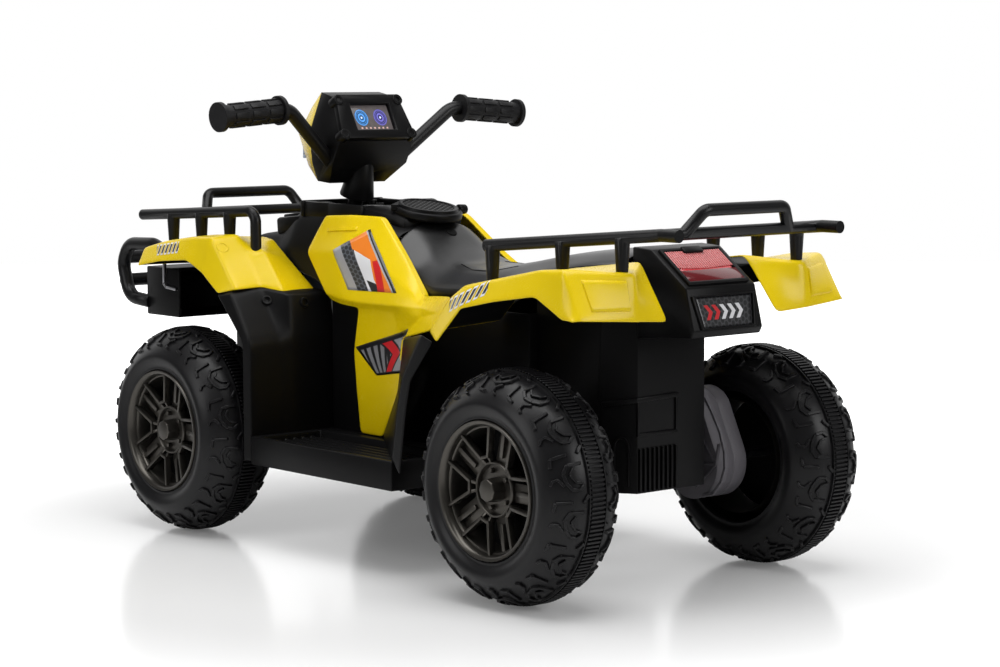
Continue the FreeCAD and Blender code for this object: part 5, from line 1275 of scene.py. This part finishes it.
def stage_piece(name, finish, size, matrix):
    """A flat square of the studio."""
    bm = bmesh.new()
    bmesh.ops.create_grid(bm, x_segments=1, y_segments=1, size=size, matrix=matrix)
    mesh = bpy.data.meshes.new(name)
    bm.to_mesh(mesh)
    bm.free()
    mesh.materials.append(finish.material)
    obj = bpy.data.objects.new(name, mesh)
    scene.collection.objects.link(obj)


DARK, WHITE = (0, 0, 0, 1), (1, 1, 1, 1)
floor_finish = Finish("floor_white", Base_Color=(.86, .86, .86, 1), Roughness=.16, IOR=1.35,
                      Emission_Strength=1)
reach = floor_finish.node("ShaderNodeVectorMath", {"operation": "LENGTH"}, {0: floor_finish.place()}, "Value")
fade = floor_finish.node("ShaderNodeMapRange", {"interpolation_type": "SMOOTHSTEP"},
                         {"Value": reach, "From Min": FLOOR_LIT, "From Max": FLOOR_FADE})
glow = fade * (1 - FLOOR_GLOW) + FLOOR_GLOW
seen = floor_finish.node("ShaderNodeLightPath", output="Is Camera Ray")
floor_finish.set("Emission Color", floor_finish.mix(DARK, WHITE, glow * seen))
stage_piece("floor", floor_finish, FLOOR_SIZE, Matrix())

backdrop_finish = Finish("backdrop_white", Base_Color=DARK, Specular_IOR_Level=0, Emission_Strength=1)
looked_at = backdrop_finish.node("ShaderNodeLightPath", output="Is Camera Ray")
mirrored_in = backdrop_finish.node("ShaderNodeLightPath", output="Is Glossy Ray")
dim = tinted(WHITE, SURROUND_LEVEL)
backdrop_finish.set("Emission Color", backdrop_finish.mix(dim, WHITE, looked_at + mirrored_in))
away = Vector((-back.x, -back.y, 0)).normalized()
stage_piece("backdrop", backdrop_finish, BACKDROP_SIZE,
            Matrix.Translation(away * BACKDROP_DISTANCE) @ facing(away))

surround = bpy.data.worlds.new("surround")
surround.use_nodes = True
scene.world = surround
sky = surround.node_tree.nodes
sky["Background"].inputs["Color"].default_value = WHITE
seen_by = sky.new("ShaderNodeLightPath")
level = sky.new("ShaderNodeMapRange")
level.inputs["To Min"].default_value = SURROUND_LEVEL
level.inputs["To Max"].default_value = 1
surround.node_tree.links.new(seen_by.outputs["Is Camera Ray"], level.inputs["Value"])
surround.node_tree.links.new(level.outputs["Result"], sky["Background"].inputs["Strength"])
scene.view_settings.view_transform = "Standard"


def soft_light(name, place, target, width, height, power):
    """A rectangular soft box aimed at a place."""
    light = bpy.data.objects.new(name, bpy.data.lights.new(name, "AREA"))
    light.data.shape = "RECTANGLE"
    light.data.size = width
    light.data.size_y = height
    light.data.energy = power
    light.matrix_world = Matrix.Translation(place) @ facing(Vector(target) - Vector(place), "-Z")
    scene.collection.objects.link(light)


# Soft boxes: place, target, width, height and power
SOFT_BOXES = {
    "overhead": ((-.2, .3, 2.5), (0, 0, .2), 2.6, 2.0, 62),
    "side": ((.2, 2.6, 1.5), (0, 0, .3), 1.4, 1.6, 18),
    "rear": ((-2.6, -.6, 1.3), (0, 0, .3), 1.2, 1.2, 20),
}
for name, settings in SOFT_BOXES.items():
    soft_light(name, *settings)
